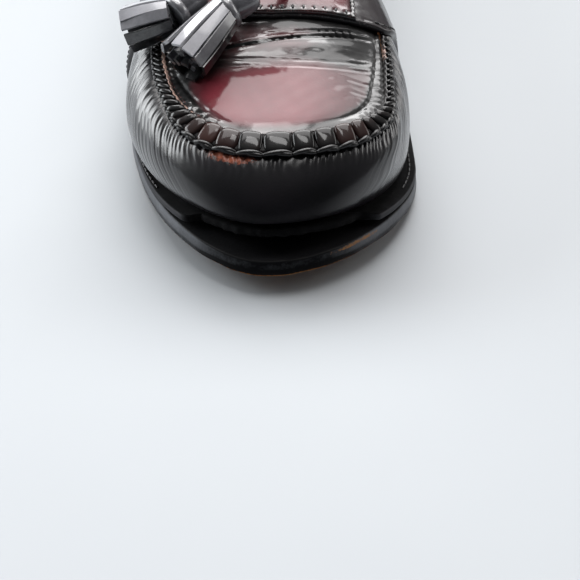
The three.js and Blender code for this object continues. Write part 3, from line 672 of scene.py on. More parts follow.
def leather(name, bright, dark, bare, roughness=0.25, cells=1400.0, depth=0.02, coat=0.5,
            coat_roughness=0.08, clouds=90.0, cloudiness=0.5, dust=0.08, creases=0.6, tone=None,
            specular=0.3, dulled=False):
    """A dulled leather loses its coat, dust and gloss where its mesh carries the attribute "dull" """
    material = bpy.data.materials.new(name)
    material.use_nodes = True
    tree = material.node_tree
    shader = tree.nodes["Principled BSDF"]
    shader.inputs["Specular IOR Level"].default_value = specular
    shader.inputs["Coat Roughness"].default_value = coat_roughness
    shader.inputs["Coat Weight"].default_value = coat
    place = add(tree, "ShaderNodeTexCoord").outputs["Object"]
    if tone is None:
        tone = add(tree, "ShaderNodeAttribute", attribute_name="tone").outputs["Fac"]
    wear = add(tree, "ShaderNodeAttribute", attribute_name="wear").outputs["Fac"]
    if dulled:
        dull = add(tree, "ShaderNodeAttribute", attribute_name="dull").outputs["Fac"]
        shiny = math_node(tree, "SUBTRACT", 1.0, dull, clamp=True)
        tree.links.new(math_node(tree, "MULTIPLY", shiny, coat), shader.inputs["Coat Weight"])
        roughness = math_node(tree, "ADD", roughness, math_node(tree, "MULTIPLY", dull, 0.4))
        dust = math_node(tree, "MULTIPLY", shiny, dust)
    colour = group_node(tree, patina_and_shade_group, {
        "Vector": place, "Bright": bright, "Dark": dark, "Tone": tone,
        "Clouds per metre": clouds, "Cloudiness": cloudiness})
    rubbed = group_node(tree, rubbed_group, {
        "Vector": place, "Color": colour["Color"], "Roughness": roughness, "Bare": bare, "Wear": wear})
    dusty = group_node(tree, dust_group, {
        "Vector": place, "Color": rubbed["Color"], "Roughness": rubbed["Roughness"],
        "Dust": DUST, "Amount": dust})
    height = group_node(tree, grain_group, {
        "Vector": place, "Cells per metre": cells, "Creases": creases})["Height"]
    bump = add(tree, "ShaderNodeBump", {"Height": height, "Strength": 1.0, "Distance": depth / 1000})
    tree.links.new(dusty["Color"], shader.inputs["Base Color"])
    tree.links.new(dusty["Roughness"], shader.inputs["Roughness"])
    tree.links.new(bump.outputs[0], shader.inputs["Normal"])
    return material


BURGUNDY = rgb(122, 14, 36)
BLACK = rgb(13, 13, 16)
PITCH = rgb(5, 5, 6)
TAN = rgb(206, 172, 158)

plug_leather = leather("burgundy calf", BURGUNDY, PITCH, rgb(158, 104, 100), roughness=0.3, cells=1300,
                       depth=0.018, coat=1.0, coat_roughness=0.11, clouds=70, cloudiness=0.5, dust=0.08,
                       specular=0.3, dulled=True)
wall_leather = leather("black calf", rgb(34, 30, 36), rgb(5, 5, 8), rgb(150, 82, 60), roughness=0.34,
                       cells=1300, depth=0.02, coat=1.0, coat_roughness=0.22, clouds=60, cloudiness=0.35,
                       dust=0.06, specular=0.14, dulled=True)
seam_leather = leather("gathered seam", rgb(66, 36, 30), PITCH, TAN, roughness=0.26, cells=1500,
                       depth=0.014, coat=0.6, coat_roughness=0.07, clouds=160, dust=0.05, specular=0.1,
                       dulled=True)
strap_leather = leather("saddle calf", rgb(48, 38, 42), rgb(12, 12, 15), rgb(130, 126, 126), roughness=0.32,
                        cells=1400, depth=0.018, coat=0.35, coat_roughness=0.12, clouds=60, dust=0.08)
# The strips are black leather; their pale grey bright colour is painted sheen, shown on the strips that face up.
tassel_sheen_leather = leather("cut strips with painted sheen", rgb(186, 186, 192), rgb(6, 7, 9), rgb(150, 140, 135), roughness=0.28,
                         cells=1600, depth=0.008, coat=1.0, coat_roughness=0.08, clouds=140, dust=0.05,
                         specular=0.5)
lace_leather = leather("waxed lace", rgb(34, 28, 30), rgb(9, 9, 11), rgb(90, 80, 78), roughness=0.35,
                       cells=1800, depth=0.01, coat=0.3, clouds=160, tone=0.85)
thread_wax = leather("waxed thread", rgb(34, 32, 34), PITCH, rgb(80, 70, 64), roughness=0.36,
                     cells=4200, depth=0.02, coat=0.25, clouds=400, tone=0.85, dust=0.04)
sole_leather = leather("sole edge", rgb(104, 106, 110), rgb(12, 12, 14), rgb(160, 112, 70), roughness=0.5,
                       cells=900, depth=0.05, coat=0.1, coat_roughness=0.3, clouds=180, cloudiness=0.9,
                       dust=0.08, specular=0.1, dulled=True)
welt_leather = leather("welt edge", rgb(70, 70, 74), rgb(6, 6, 7), rgb(140, 96, 60), roughness=0.5,
                       cells=1000, depth=0.03, coat=0.2, coat_roughness=0.3, clouds=200, dust=0.03,
                       specular=0.1, dulled=True)
heel_leather = leather("heel lifts", rgb(70, 48, 36), rgb(18, 16, 16), rgb(140, 104, 70), roughness=0.45,
                       cells=1100, depth=0.04, coat=0.25, coat_roughness=0.25, clouds=120, tone=0.85, dust=0.08)
lining_leather = leather("tan lining", rgb(176, 134, 96), rgb(120, 84, 58), rgb(90, 70, 54), roughness=0.6,
                         cells=1700, depth=0.03, coat=0.0, clouds=50, cloudiness=0.9, tone=0.35, dust=0.05)
rubber = leather("hard rubber", rgb(44, 43, 43), rgb(20, 20, 21), rgb(80, 78, 76), roughness=0.75,
                 cells=2600, depth=0.05, coat=0.0, clouds=200, tone=0.6, dust=0.15)
print("materials:", len(bpy.data.materials))

# %% [markdown]
# ## Floor and light
# A pale sheet under the shoe and soft boxes round it. The apron faces the ceiling a little
# behind the shoe, so a broad box hangs there, and its reflection is the pale sheen on the
# burgundy. Two side boxes draw the grey lines on pleats and strips.

# %% Floor and light
floor_material = bpy.data.materials.new("pale sheet")
floor_material.use_nodes = True
tree = floor_material.node_tree
paper = add(tree, "ShaderNodeTexNoise", {"Vector": add(tree, "ShaderNodeTexCoord").outputs["Object"],
                                         "Scale": 9.0, "Detail": 3.0})
near = blend_colours(tree, paper.outputs[0], rgb(180, 184, 188), rgb(186, 190, 193))
# The sheet's colour is darker towards the back: painted shade that evens out the light of the back panel.
depth = add(tree, "ShaderNodeSeparateXYZ", {0: add(tree, "ShaderNodeTexCoord").outputs["Object"]}).outputs[1]
back = add(tree, "ShaderNodeMapRange", {"Value": depth, "From Min": -0.35, "From Max": 0.15}).outputs[0]
tone = blend_colours(tree, back, near, rgb(160, 164, 167))
tree.links.new(tone, tree.nodes["Principled BSDF"].inputs["Base Color"])
tree.nodes["Principled BSDF"].inputs["Roughness"].default_value = 0.75

floor_mesh = bpy.data.meshes.new("floor")
floor_mesh.from_pydata([(-3, -3, 0), (3, -3, 0), (3, 3, 0), (-3, 3, 0)], [], [(0, 1, 2, 3)])
floor_mesh.materials.append(floor_material)
floor = bpy.data.objects.new("floor", floor_mesh)
bpy.context.collection.objects.link(floor)

world = bpy.data.worlds.new("soft room")
world.use_nodes = True
world.node_tree.nodes["Background"].inputs["Color"].default_value = rgb(222, 228, 236)
world.node_tree.nodes["Background"].inputs["Strength"].default_value = 0.09
bpy.context.scene.world = world
bpy.context.scene.view_settings.view_transform = "Standard"


def softbox(name, place, aim, width, height, radiance, colour):
    lamp = bpy.data.lights.new(name, "AREA")
    lamp.shape = "RECTANGLE"
    lamp.size, lamp.size_y = width, height
    lamp.energy = radiance * math.pi * width * height
    lamp.color = colour
    box = bpy.data.objects.new(name, lamp)
    bpy.context.collection.objects.link(box)
    box.location = place
    towards = Vector(aim) - Vector(place)
    box.rotation_euler = towards.to_track_quat("-Z", "Y").to_euler()
    return box


TOE = (0.0, -0.1, 0.04)
softbox("front strip", (0.02, -0.055, 0.8), TOE, 0.34, 0.1, 10.0, (1.0, 0.99, 0.985))
softbox("ceiling panel", (0.02, 0.17, 0.78), TOE, 0.7, 0.34, 5.0, (1.0, 0.98, 0.98))
softbox("back panel", (0.02, 0.95, 1.05), TOE, 1.5, 0.68, 9.5, (1.0, 0.99, 0.99))
softbox("left panel", (-0.8, 0.24, 0.36), TOE, 0.7, 0.6, 8.0, (0.95, 0.98, 1.0))
softbox("right panel", (0.85, 0.24, 0.34), TOE, 0.6, 0.5, 3.6, (1.0, 0.99, 0.98))
print("lights:", len(bpy.data.lights))

# %% [markdown]
# ## The two lace ends
# From the knot each end of the lace wanders over the saddle and goes into the head of its
# tassel. It is a soft waxed cord of 3.2 mm, so it never bends tighter than twice that. The
# points are the route of the frame's solids, in metres.

# %% The two lace ends
LACE = 3.2
NEAR = {"top": (-3.4, 77.8, 68.3), "rim": (-14.0, 72.5, 63.2), "end": (-27.6, 54.6, 54.7)}
OUTER = {"top": (-21.5, 84.0, 65.8), "rim": (-31.5, 75.0, 61.0), "end": (-47.2, 76.3, 55.2)}
NEAR_PATH = [(1.2, 102.5, 76.0), (1.6, 100.3, 74.0), (3.0, 97.5, 71.7), (5.4, 94.0, 70.1),
             (7.2, 90.5, 68.5), (7.6, 87.0, 67.1), (6.0, 83.8, 67.0), (2.6, 81.2, 68.6)]
OUTER_PATH = [(-3.6, 102.2, 75.9), (-3.0, 100.2, 74.0), (-2.6, 97.2, 71.8), (-3.4, 93.6, 70.1),
              (-6.4, 90.6, 68.5), (-10.6, 89.2, 67.5), (-15.0, 88.6, 67.0)]


def into_head(path, tassel):
    top, rim = np.array(tassel["top"]), np.array(tassel["rim"])
    axis = unit(top - rim)
    return np.array(path + [top + 3 * axis, top + 0.35 * axis])


lace_paths = {
    "near": catmull(into_head(NEAR_PATH, NEAR), 36),
    "outer": catmull(into_head(OUTER_PATH, OUTER), 36),
}
for side, (path, length) in lace_paths.items():
    stitched = circle(LACE / 2, 16) * np.array([1.0, 0.94])
    _, across, over = frames(path, (0, 0, 1))
    lace = build(f"{side}_lace", *sweep(path, across, over, stitched))
    finish_piece(lace, lace_leather, "lace", f"lace_end_{side}")
    print(f"lace to the {side} tassel: {length:.1f} mm")

# %% [markdown]
# ## Outsole, welt and heel
# A sole is cut from flat leather and its edge is trimmed with a wheel, so a profile carried
# round the outline makes it. `plate` takes such a profile, a list of insets and heights, and
# closes it above and below. On this worn shoe the outsole has come away from the welt at the
# toe: its underside and top both drop there, by the same curve.

# %% A plate from an edge profile
def sole_edge(u, inset):
    return sole_point(u) - sole_outward(u) * np.asarray(inset)[..., None]


def plate(name, turns, profile, fields=None, sharp=35):
    """profile: rows of (inset, height) from bottom to top, each a function of (u, along)"""
    u = np.concatenate([-turns, turns[::-1]])
    _, along, _ = around(u)
    levels = []
    for inset, height in profile:
        edge = sole_edge(u, inset(u, along))
        levels.append(np.concatenate([edge, height(u, along)[:, None]], -1))
    levels = np.array(levels)
    levels = np.concatenate([levels, levels[:, :1]], 1)
    rows, columns = levels.shape[:2]
    faces = [list(face) for face in grid_faces(rows, columns)]
    count = len(turns)
    top = (rows - 1) * columns
    for i in range(count - 1):
        left, right = i, 2 * count - 1 - i
        faces.append([left, left + 1, right - 1, right])
        faces.append([top + left, top + right, top + right - 1, top + left + 1])
    values = {}
    for field, rule in (fields or {}).items():
        values[field] = np.array([rule(np.append(u, u[0]), np.append(along, along[0]), k) for k in range(rows)])
    return build(name, levels.reshape(-1, 3), faces, values, sharp)


def mouth_at(along):
    closed = np.minimum(along * SHOE_LENGTH / MOUTH_LENGTH, 1)
    return MOUTH_OPENING * (1 - closed) ** 1.6


# %% Outsole
sole_turns = np.linspace(0, 1, 260)


def sole_under(along):
    return sole_rise(along) - mouth_at(along)


def scuffed(u, along, depth):
    return depth * (0.5 + 0.5 * ripple(u * 120, along * 0, 9.0, 3)) * (0.4 + 0.6 * bell(u, 0.3))


OUTSOLE_PROFILE = [(1.3, 0.0), (0.75, 0.18), (0.35, 0.6), (0.12, 1.3), (0.0, 2.3), (0.02, 3.3),
                   (0.16, 4.3), (0.2, 4.9), (0.32, 5.7), (0.5, 6.25), (0.9, 6.5)]


def outsole_profile():
    rows = []
    for inset, height in OUTSOLE_PROFILE:
        def inset_at(u, along, inset=inset, height=height):
            dents = scuffed(u, along, 0.25 if height < 2 else 0.08)
            return inset + dents + 2.0 * bell(u + 0.31, 0.1)
        def height_at(u, along, height=height):
            lip = 0.25 * ripple(u * 150, along * 0, 14.0, 8) * bell(u, 0.22) * ramp(height, 4.0, 6.5)
            return sole_under(along) + height + np.minimum(lip, 0)
        rows.append((inset_at, height_at))
    return rows


def outsole_front(along):
    return 1 - ramp(along * SHOE_LENGTH, 2.0, 16.0)


# Tone of the outsole edge: darker on the lower band, lighter on the upper band, varied at random. Within 16 mm of the
# toe tip it is painted nearly black, painted shade round the opened mouth, and the top face is painted black all round,
# painted shade under the welt.
def outsole_tone_and_shade(u, along, level):
    height = OUTSOLE_PROFILE[level][1]
    upper_half = ramp(np.full_like(u, height), 2.2, 3.6) * (height < 6)
    return 0.8 - 0.6 * upper_half + 0.15 * ripple(u * 100, level, 20.0, 4) + 0.8 * outsole_front(along) + (height > 6.4)


def outsole_dull(u, along, level):
    arris = 0.55 * (OUTSOLE_PROFILE[level][1] == 6.25)
    return np.clip(0.95 * outsole_front(along) - arris + (OUTSOLE_PROFILE[level][1] > 6.4) * (along < 0.25), 0, 0.98)


def outsole_wear(u, along, level):
    height = OUTSOLE_PROFILE[level][1]
    under = (0.42 + 0.2 * bell(u - 0.04, 0.1)) * bell(height - 0.3, 0.7) * (along < 0.4)
    split = bell(u - 0.135, 0.04) * bell(height - 5.2, 0.65) * (0.7 + 0.3 * ripple(u * 150, level, 5.0, 9))
    return under + split + 0.12 * bell(height - 6.1, 0.4)


outsole = plate("dressed_outsole", sole_turns, outsole_profile(),
                {"tone": outsole_tone_and_shade, "wear": outsole_wear, "dull": outsole_dull})
finish_piece(outsole, sole_leather, "outsole", "outsole")

# %% Welt: a thinner strip whose edge shows between upper and outsole
WELT_PROFILE = [(1.2, 0.3), (0.6, 0.5), (0.42, 1.0), (0.4, 1.9), (0.55, 2.5), (0.85, 2.85), (1.3, 3.0)]


def welt_profile():
    rows = []
    for inset, height in WELT_PROFILE:
        def inset_at(u, along, inset=inset):
            gone = 1 - ramp(along * SHOE_LENGTH + 1.2 * ripple(u * 200, along * 0, 9.0, 12), 17, 20.5)
            return inset + gone * (4.5 + 0.5 * ripple(u * 200, along * 0, 7.0, 13)) + 1.6 * bell(u + 0.31, 0.1)
        def height_at(u, along, height=height):
            return sole_rise(along) + OUTSOLE + height
        rows.append((inset_at, height_at))
    return rows


# The welt's edge is painted pitch black for the first 18 mm from the toe tip: painted shade in the opened mouth.
# Further back its lower rows are lighter, and its top rows stay dark all round.
def welt_tone_and_mouth_shade(u, along, level):
    return 1.0 - 0.5 * ramp(along, 0.06, 0.075) * (WELT_PROFILE[level][1] < 2.7)


def welt_dull(u, along, level):
    return 0.98 - 0.5 * ramp(along, 0.06, 0.075) * (WELT_PROFILE[level][1] < 2.7) - 0.4 * ramp(along, 0.2, 0.3)


welt = plate("dressed_welt", sole_turns, welt_profile(), {"tone": welt_tone_and_mouth_shade, "dull": welt_dull})
finish_piece(welt, welt_leather, "welt", "welt")

# %% [markdown]
# The heel is stacked from lifts of leather on a rubber top lift. Each lift keeps a fine groove
# above it. The sides draw in a little towards the floor, as a heel is trimmed.

# %% Heel stack and top lift
def turn_at(y):
    return math.acos(1 - 2 * y / SHOE_LENGTH) / math.pi


heel_turns = np.linspace(turn_at(SHOE_LENGTH - HEEL_LENGTH), 1, 120)
lift_foot = TOP_LIFT + 0.3


def heel_inset(share):
    return 0.7 + HEEL_TAPER * (1 - share)


def heel_rows():
    heights, grooves = [0.0], [0.25]
    lift = (HEEL_HEIGHT - lift_foot) / 3
    for i in range(3):
        heights += [i * lift + 0.25, (i + 0.5) * lift, (i + 1) * lift - 0.25]
        grooves += [0.0, -0.08, 0.0]
        if i < 2:
            heights.append((i + 1) * lift)
            grooves.append(0.45)
    return heights + [HEEL_HEIGHT - lift_foot], grooves + [0.3]


def heel_profile():
    rows = []
    for height, groove in zip(*heel_rows()):
        share = height / (HEEL_HEIGHT - lift_foot)
        inset = heel_inset((lift_foot + height) / HEEL_HEIGHT) + groove
        rows.append((
            lambda u, along, inset=inset: np.full_like(u, inset),
            lambda u, along, share=share: lift_foot + share * (sole_rise(along) - 0.3 - lift_foot),
        ))
    return rows


def flat_rows(pairs):
    return [(lambda u, along, inset=inset: np.full_like(u, inset),
             lambda u, along, height=height: np.full_like(u, height)) for inset, height in pairs]


heel = plate("stacked_heel", heel_turns, heel_profile(), sharp=30)
finish_piece(heel, heel_leather, "heel", "heel_stack")
lift_share = TOP_LIFT / HEEL_HEIGHT
rubber_lift = plate("rubber_lift", heel_turns, flat_rows([
    (heel_inset(0) + 1.0, 0.0), (heel_inset(0) + 0.35, 0.12), (heel_inset(0), 0.7),
    (heel_inset(lift_share), TOP_LIFT - 0.5), (heel_inset(lift_share) + 0.3, TOP_LIFT)]))
finish_piece(rubber_lift, rubber, "topLift", "top_lift")

# %% Insole, the floor inside the shoe
def insole_inset(u, along, more=0.0):
    return BALL_WIDTH * smooth(WALL, "inset", along) + UPPER_WALL + CLEARANCE + more


def insole_level(height, more):
    return (lambda u, along: insole_inset(u, along, more),
            lambda u, along: welt_top(along) + height)


insole = plate("insole_sock", np.linspace(0, 1, 120), [
    insole_level(0.3, 0.0), insole_level(2.2, 0.0), insole_level(2.6, 0.2), insole_level(2.8, 0.7)])
finish_piece(insole, lining_leather, "lining", "insole")

# %% [markdown]
# ## Where the gathers sit
# The wall of a moccasin toe is longer than the apron's edge, so the thread gathers it into
# small lugs. Over the front they are up to 8 mm wide, along the sides 2.7 mm. Everything
# that follows the gathers, the lugs, the thread and the pleats below them, asks `gather_phase`
# which lug it belongs to.

# %% Where the gathers sit
FRONT_GATHERS = [-0.13, -0.104, -0.073, -0.037, -0.002, 0.023, 0.046, 0.07, 0.093, 0.112]
SIDE_PITCH = 2.7
seam_end = float(wall_line_at(1.0, 1.0, saddle_y(1.0, 0.0) - 1.8))
seam_u = np.linspace(-seam_end, seam_end, 3001)
seam_line = top_edge(seam_u)
seam_run = np.concatenate([[0], np.cumsum(np.linalg.norm(np.diff(seam_line, axis=0), axis=1))])


def side_gathers(start, end):
    run, stop = np.interp([start, end], seam_u, seam_run)
    step, places = 4.0, []
    while abs(run - stop) > SIDE_PITCH:
        run += math.copysign(step, stop - run)
        step = SIDE_PITCH + (step - SIDE_PITCH) * 0.7
        places.append(float(np.interp(run, seam_run, seam_u)))
    return places


outer_gathers = side_gathers(FRONT_GATHERS[0], -seam_end)[::-1]
gathers = np.array(outer_gathers + FRONT_GATHERS + side_gathers(FRONT_GATHERS[-1], seam_end))
lug_count = len(gathers) - 1


def gather_phase(u):
    end_step = gathers[-1] - gathers[-2]
    beyond = np.maximum(np.abs(u) - gathers[-1], 0) / end_step * np.sign(u)
    return np.interp(u, gathers, np.arange(lug_count + 1)) + beyond


def seam_front(u):
    return np.clip((0.2 - np.abs(u)) / 0.1, 0, 1)


def wall_reach(u):
    side = np.where(u < 0, 1.3, 0.8)
    return side + (4.0 - side) * seam_front(u)


def apron_reach(u):
    side = np.where(u < 0, 2.1, 1.4) - 0.8 * ramp(np.abs(u), 0.22, 0.3)
    return side + (4.0 - side) * seam_front(u)


print(f"seam: {seam_run[-1]:.0f} mm with {lug_count} lugs")

# %% [markdown]
# ## The wall of the upper
# One bent sheet runs round the shoe from the welt to the seam and on to the topline. Its
# pleats start at the lugs and die out downwards: strong on both sides of the toe, where the
# leather is pulled round the curve, and nearly flat in front. They are modelled in the mesh,
# because their highlights are what shows the wall's shape.

# %% The wall of the upper
def wall_detail(u, b):
    turn = np.abs(u)
    below = (1 - b) * 56
    toe = 1 - ramp(turn, 0.3, 0.36)
    at_side = ramp(turn, 0.1, 0.19) * toe
    wander = 0.3 * ripple(u * 60, below * 0.5, 11.0, 21) * ramp(below, 2, 20)
    phase = gather_phase(u) + wander
    puff = np.abs(np.sin(np.pi * phase)) ** 0.7 - 0.6
    uneven = 0.75 + 0.35 * ripple(u * 120, below * 0.2, 8.0, 22)
    front = 0.55 * np.exp(-((below / 8.0) ** 1.6)) * (1 - at_side) * toe
    side = 0.34 * np.exp(-((below / 36.0) ** 2)) * at_side * uneven
    broad = np.sin(np.pi * (phase * 0.37 + 0.2)) * np.exp(-((below / 26.0) ** 2)) * (0.04 + 0.3 * at_side)
    fine = 0.04 * np.sin(2 * np.pi * phase * 1.9) * np.exp(-((below / 40.0) ** 2)) * at_side
    walked = 0.25 * ripple(u * 90, below * 0.3, 26.0, 5) * ramp(turn, 0.05, 0.3)
    hollow = -0.6 * bell(b - 0.32, 0.16) * bell(turn - 0.36, 0.05)
    streaks = np.sin(2 * np.pi * (phase * 2.6 + 0.5 * ripple(u * 200, 0.15 * below, 12.0, 23)))
    fine += 0.3 * streaks * (1 - at_side) * toe * bell(below - 6.0, 7.0) * (0.8 + 0.4 * ripple(u * 200, 0 * b, 10.0, 24))
    fuller = 1.1 * bell(u + 0.27, 0.08) * bell(b - 0.45, 0.3)
    return (front + side) * puff + broad + fine + walked * ramp(b, 0.02, 0.15) + hollow + fuller


def wall_tone(u, b):
    return np.clip(0.85 - 0.2 * ripple(u * 90, b * 30, 14.0, 6), 0, 1)


def wall_wear(u, b):
    brown = 0.56 * bell(u + 0.045, 0.045) * bell(b - 0.835, 0.06) + 0.3 * bell(u - 0.075, 0.02) * bell(b - 0.88, 0.02)
    return brown + 0.2 * bell(b - 0.02, 0.03) + 0.3 * bell(np.abs(u) - 0.2, 0.05) * bell(b - 0.97, 0.03)


def wall_dull(u, b):
    """The front of the wall has lost its gloss, and faces a dark room"""
    return (1 - ramp(np.abs(u), 0.06, 0.14)) * (0.95 - 0.5 * bell(b - 0.86, 0.06))


wall_u = np.concatenate([np.linspace(-1, -0.4, 110, endpoint=False), np.linspace(-0.4, 0.4, 960),
                         np.linspace(0.4, 1, 110, endpoint=False)[1:]])
wall_b, wall_rim = rounded_run(0, 1, 56, 1.1, 62, (False, True))
U, B = np.meshgrid(wall_u, wall_b, indexing="ij")
wall_base = wall_point(U, B)
wall_out = surface_normals(wall_base, ring=True)
rise = wall_detail(U, B) * ramp(B, 0.0, 0.06)
lip = (wall_rim[None, :] - 1) * 1.15
outer_side = wall_base + wall_out * (rise + lip)[..., None]
kept = [*range(0, 61, 6), -1]
flesh_side = (wall_base - wall_out * 0.9)[:, kept]
flesh_side[:, -1] = (wall_base - wall_out * 1.15)[:, -1]
points, faces = shell(outer_side, flesh_side, ring=True)
upper = build("upper_wall", points, faces, {
    "tone": both_sides(wall_tone(U, B), np.ones(flesh_side.shape[:2])),
    "wear": both_sides(wall_wear(U, B), np.zeros(flesh_side.shape[:2])),
    "dull": both_sides(wall_dull(U, B), np.ones(flesh_side.shape[:2]))}, sharp=70)
finish_piece(upper, wall_leather, "upper", "upper")

# %% Lining of the wall, from the inside of the leather to the foot
lining_b, lining_rim = rounded_run(0, 1, 56, 0.9, 26, (False, True))
lining_u = np.linspace(-1, 1, 240, endpoint=False)
U, B = np.meshgrid(lining_u, lining_b * 0.997, indexing="ij")
lining_base = wall_point(U, B)
lining_out = surface_normals(lining_base, ring=True)
inner_face = lining_base - lining_out * (UPPER_WALL - (1 - lining_rim[None, :]) * 0.9)[..., None]
points, faces = shell(lining_base - lining_out * 1.2, inner_face, ring=True)
lining = build("upper_lining", points, faces, sharp=70)
finish_piece(lining, lining_leather, "lining", "upper")

# %% [markdown]
# ## The apron
# The burgundy apron, or plug, is the smooth top of the toe. What makes it real is how it was
# walked in: a deep flex crease in front of the saddle, a bulge before it, two fine creases
# further down, and a rubbed margin where the gathers push it up. Each is given in the
# shoe's own millimetres and pressed into a fine grid as a soft trough or ridge.

# %% Troughs and ridges along a line
def nearest_on(x, y, line):
    steps = np.linspace(0, len(line) - 1, 160)
    line = np.array(line, float)
    px, py = (np.interp(steps, np.arange(len(line)), line[:, k]) for k in (0, 1))
    distance = np.hypot(x[..., None] - px, y[..., None] - py)
    k = distance.argmin(-1)
    signed = distance.min(-1) * np.where(y > py[k], 1, -1)
    return signed, steps[k] / steps[-1]


def crease(x, y, line, width, depth, lip=0.35):
    away, share = nearest_on(x, y, line)
    fade = ramp(share, 0.0, 0.16) * ramp(1 - share, 0.0, 0.16)
    wander = 1 + 0.3 * np.sin(share * 23 + depth * 40)
    raised = lip * (bell(away - 2 * width, width) + bell(away + 2 * width, width))
    return fade * depth * wander * (raised - bell(away, width))


FLEX = [(-24, 66.5), (-14, 67.0), (-5, 68.2), (-0.4, 69.2), (7, 70.6), (14.6, 71.8), (24.6, 74.0), (31.9, 75.6), (38, 77)]
FLEX_UPPER = [(-2, 72.4), (4.7, 73.2), (18.4, 75.2), (28.7, 77.4), (36, 78.6)]
FLEX_SHORT = [(2, 70.8), (12, 73.6), (24, 76.4), (34, 78.2)]
FINE_LOWER = [(-30, 61.5), (-22, 60.6), (-8.6, 59.2), (6.8, 59.0), (21.6, 59.2), (32, 60.2), (37, 61.4)]
FINE_UPPER = [(-28, 65.4), (-22, 64.0), (-8.7, 61.9), (6.8, 61.5), (21.6, 62.0), (32, 63.6), (37, 65.2)]
SIDE_CREASES = [[(-31, 55), (-26, 56.5), (-20, 56.8)], [(38, 55), (33, 54.5), (27, 55.4)],
                [(37, 70.5), (31, 69), (24, 68.6)], [(-33, 71), (-28, 70.5), (-22, 71.2)],
                [(36.5, 49), (32, 49.5), (28, 50.4)]]


def blot(x, y, at_x, at_y, half_x, half_y, lean):
    """1 in the middle of a slanted patch, 0 outside"""
    across, up = (x - at_x) / half_x, (y - at_y - lean * (x - at_x)) / half_y
    frayed = 0.22 * ripple(2.4 * x, 2.4 * y, 9.0, 41) + 0.1 * ripple(9 * x, 9 * y, 9.0, 42)
    return 1 - ramp(np.sqrt(across**2 + up**2) + frayed, 0.6, 1.1)


def seam_distance(x, y):
    px, py = seam_line[::6, 0], seam_line[::6, 1]
    phases = gather_phase(seam_u[::6])
    distance = np.empty(x.shape)
    phase, turn = np.empty(x.shape), np.empty(x.shape)
    for i in range(len(x)):
        away = np.hypot(x[i][:, None] - px, y[i][:, None] - py)
        k = away.argmin(1)
        distance[i], phase[i], turn[i] = away.min(1), phases[k], seam_u[::6][k]
    return distance, phase, turn


# %% The apron's surface
plug_start = SEAM_SETBACK + LAYER_GAP
share = np.linspace(0, 1, 150)
plug_y = plug_start + (PLUG_END - plug_start) * share**1.25
Y, C = np.meshgrid(plug_y, np.linspace(0, 1, 150), indexing="ij")
edge_gap = LAYER_GAP + 1.5 * (Y - plug_start) / (PLUG_END - plug_start)
plug_base = vamp_point(Y, C, edge_gap)
plug_base[0] = plug_base[0, 75]
plug_out = vamp_normal(Y, C)
plug_out[0] = plug_out[0, 75]
X = plug_base[..., 0]
inward, phase, turn = seam_distance(X, plug_base[..., 1])
on_side = ramp(np.abs(turn), 0.05, 0.14)

inset = inward * 7.4 / (7.4 - 4.4 * ramp(np.abs(turn), 0.14, 0.31))
margin = 0.14 * bell(inset - 5.0, 1.6) * on_side
groove = -0.55 * bell(inset - 7.4, 0.8) * on_side
uneven = ripple(X, Y, 7.0, 31)
tucks = (0.18 - 0.07 * np.sign(turn)) * np.sin(2 * np.pi * phase * 0.98 + 1.6 * uneven) * bell(inset - 4.9, 1.8) * on_side
short = 0.08 * np.sin(2 * np.pi * phase * 0.63 + 2.0 * ripple(X, Y, 11.0, 32)) * bell(inset - 7.6, 2.4) * on_side
rolled = -0.5 * (1 - ramp(inward, 3.6, 11.0)) * (1 - on_side)
bulge = 1.05 * bell(Y - 66.5 - 0.12 * X, 4.2) * ramp(inward, 6, 14) + 0.3 * bell(Y - 78, 3.0)
creases = crease(X, Y, FLEX, 0.6, 0.7) + crease(X, Y, FLEX_UPPER, 0.5, 0.3)
creases += crease(X, Y, FLEX_SHORT, 0.5, 0.22)
creases += crease(X, Y, FINE_LOWER, 0.42, 0.17) + crease(X, Y, FINE_UPPER, 0.42, 0.19)
for line in SIDE_CREASES:
    creases += crease(X, Y, line, 0.5, 0.1)
puckers = 0.05 * ripple(X * 0.35, Y, 2.6, 33) * ramp(Y, 50, 70)
soft = 0.13 * ripple(X, Y, 34.0, 34) * ramp(inward, 4, 14) + 0.05 * ripple(X, Y, 9.0, 35)
sunk = -0.35 * (1 - ramp(inward, 0.5, 3.0))
plug_rise = margin + groove + tucks + short + rolled + bulge + creases + puckers + soft + sunk
plug_rise[0] = plug_rise[0, 75]

near_seam = 1 - ramp(inset, 5.0, 11.0)
flex_away, _ = nearest_on(X, Y, FLEX)
near_seam = near_seam * on_side + (1 - ramp(inward, 6.0, 9.5)) * (1 - on_side)
# The apron's tone darkens near the seam, where the antique finish gathers. It is painted darker towards the saddle and
# towards the left: painted shade where the knot and tassels hang over the apron. It also darkens towards the right,
# along the flex crease and in bands across the bulge.
plug_tone_and_shade = 0.22 + 0.74 * near_seam + 0.55 * bell(X + 31, 8) + 0.6 * ramp(X, 8, 32)
plug_tone_and_shade += 0.5 * ramp(Y, 70, 80) + 0.5 * bell(flex_away, 0.8) + 0.42 * bell(Y - 65.5 - 0.12 * X, 4.5)
plug_tone_and_shade += 0.35 * ramp(Y - 0.12 * X, 66, 69) + 0.4 * bell(Y - 61.5 - 0.12 * X, 4.0)
plug_dull = blot(X, Y, -3.5, 56.5, 11, 2.1, 0.05) + blot(X, Y, -18, 50.5, 6.0, 5.0, 0.75)
plug_dull += 0.6 * blot(X, Y, 30, 71, 11, 4.5, 0.1) + blot(X, Y, -27, 55, 7, 9, 0.0) + 0.5 * bell(inset - 5.6, 2.6) * ramp(turn, 0.11, 0.17)
plug_dull += 0.28 * (1 - bell(Y - 66.5 - 0.12 * X, 6)) * ramp(inward, 5, 10)
plug_dull = np.clip(0.92 * plug_dull + 0.3 * ramp(X, 6, 34) * ramp(inset, 7, 9), 0, 0.92)
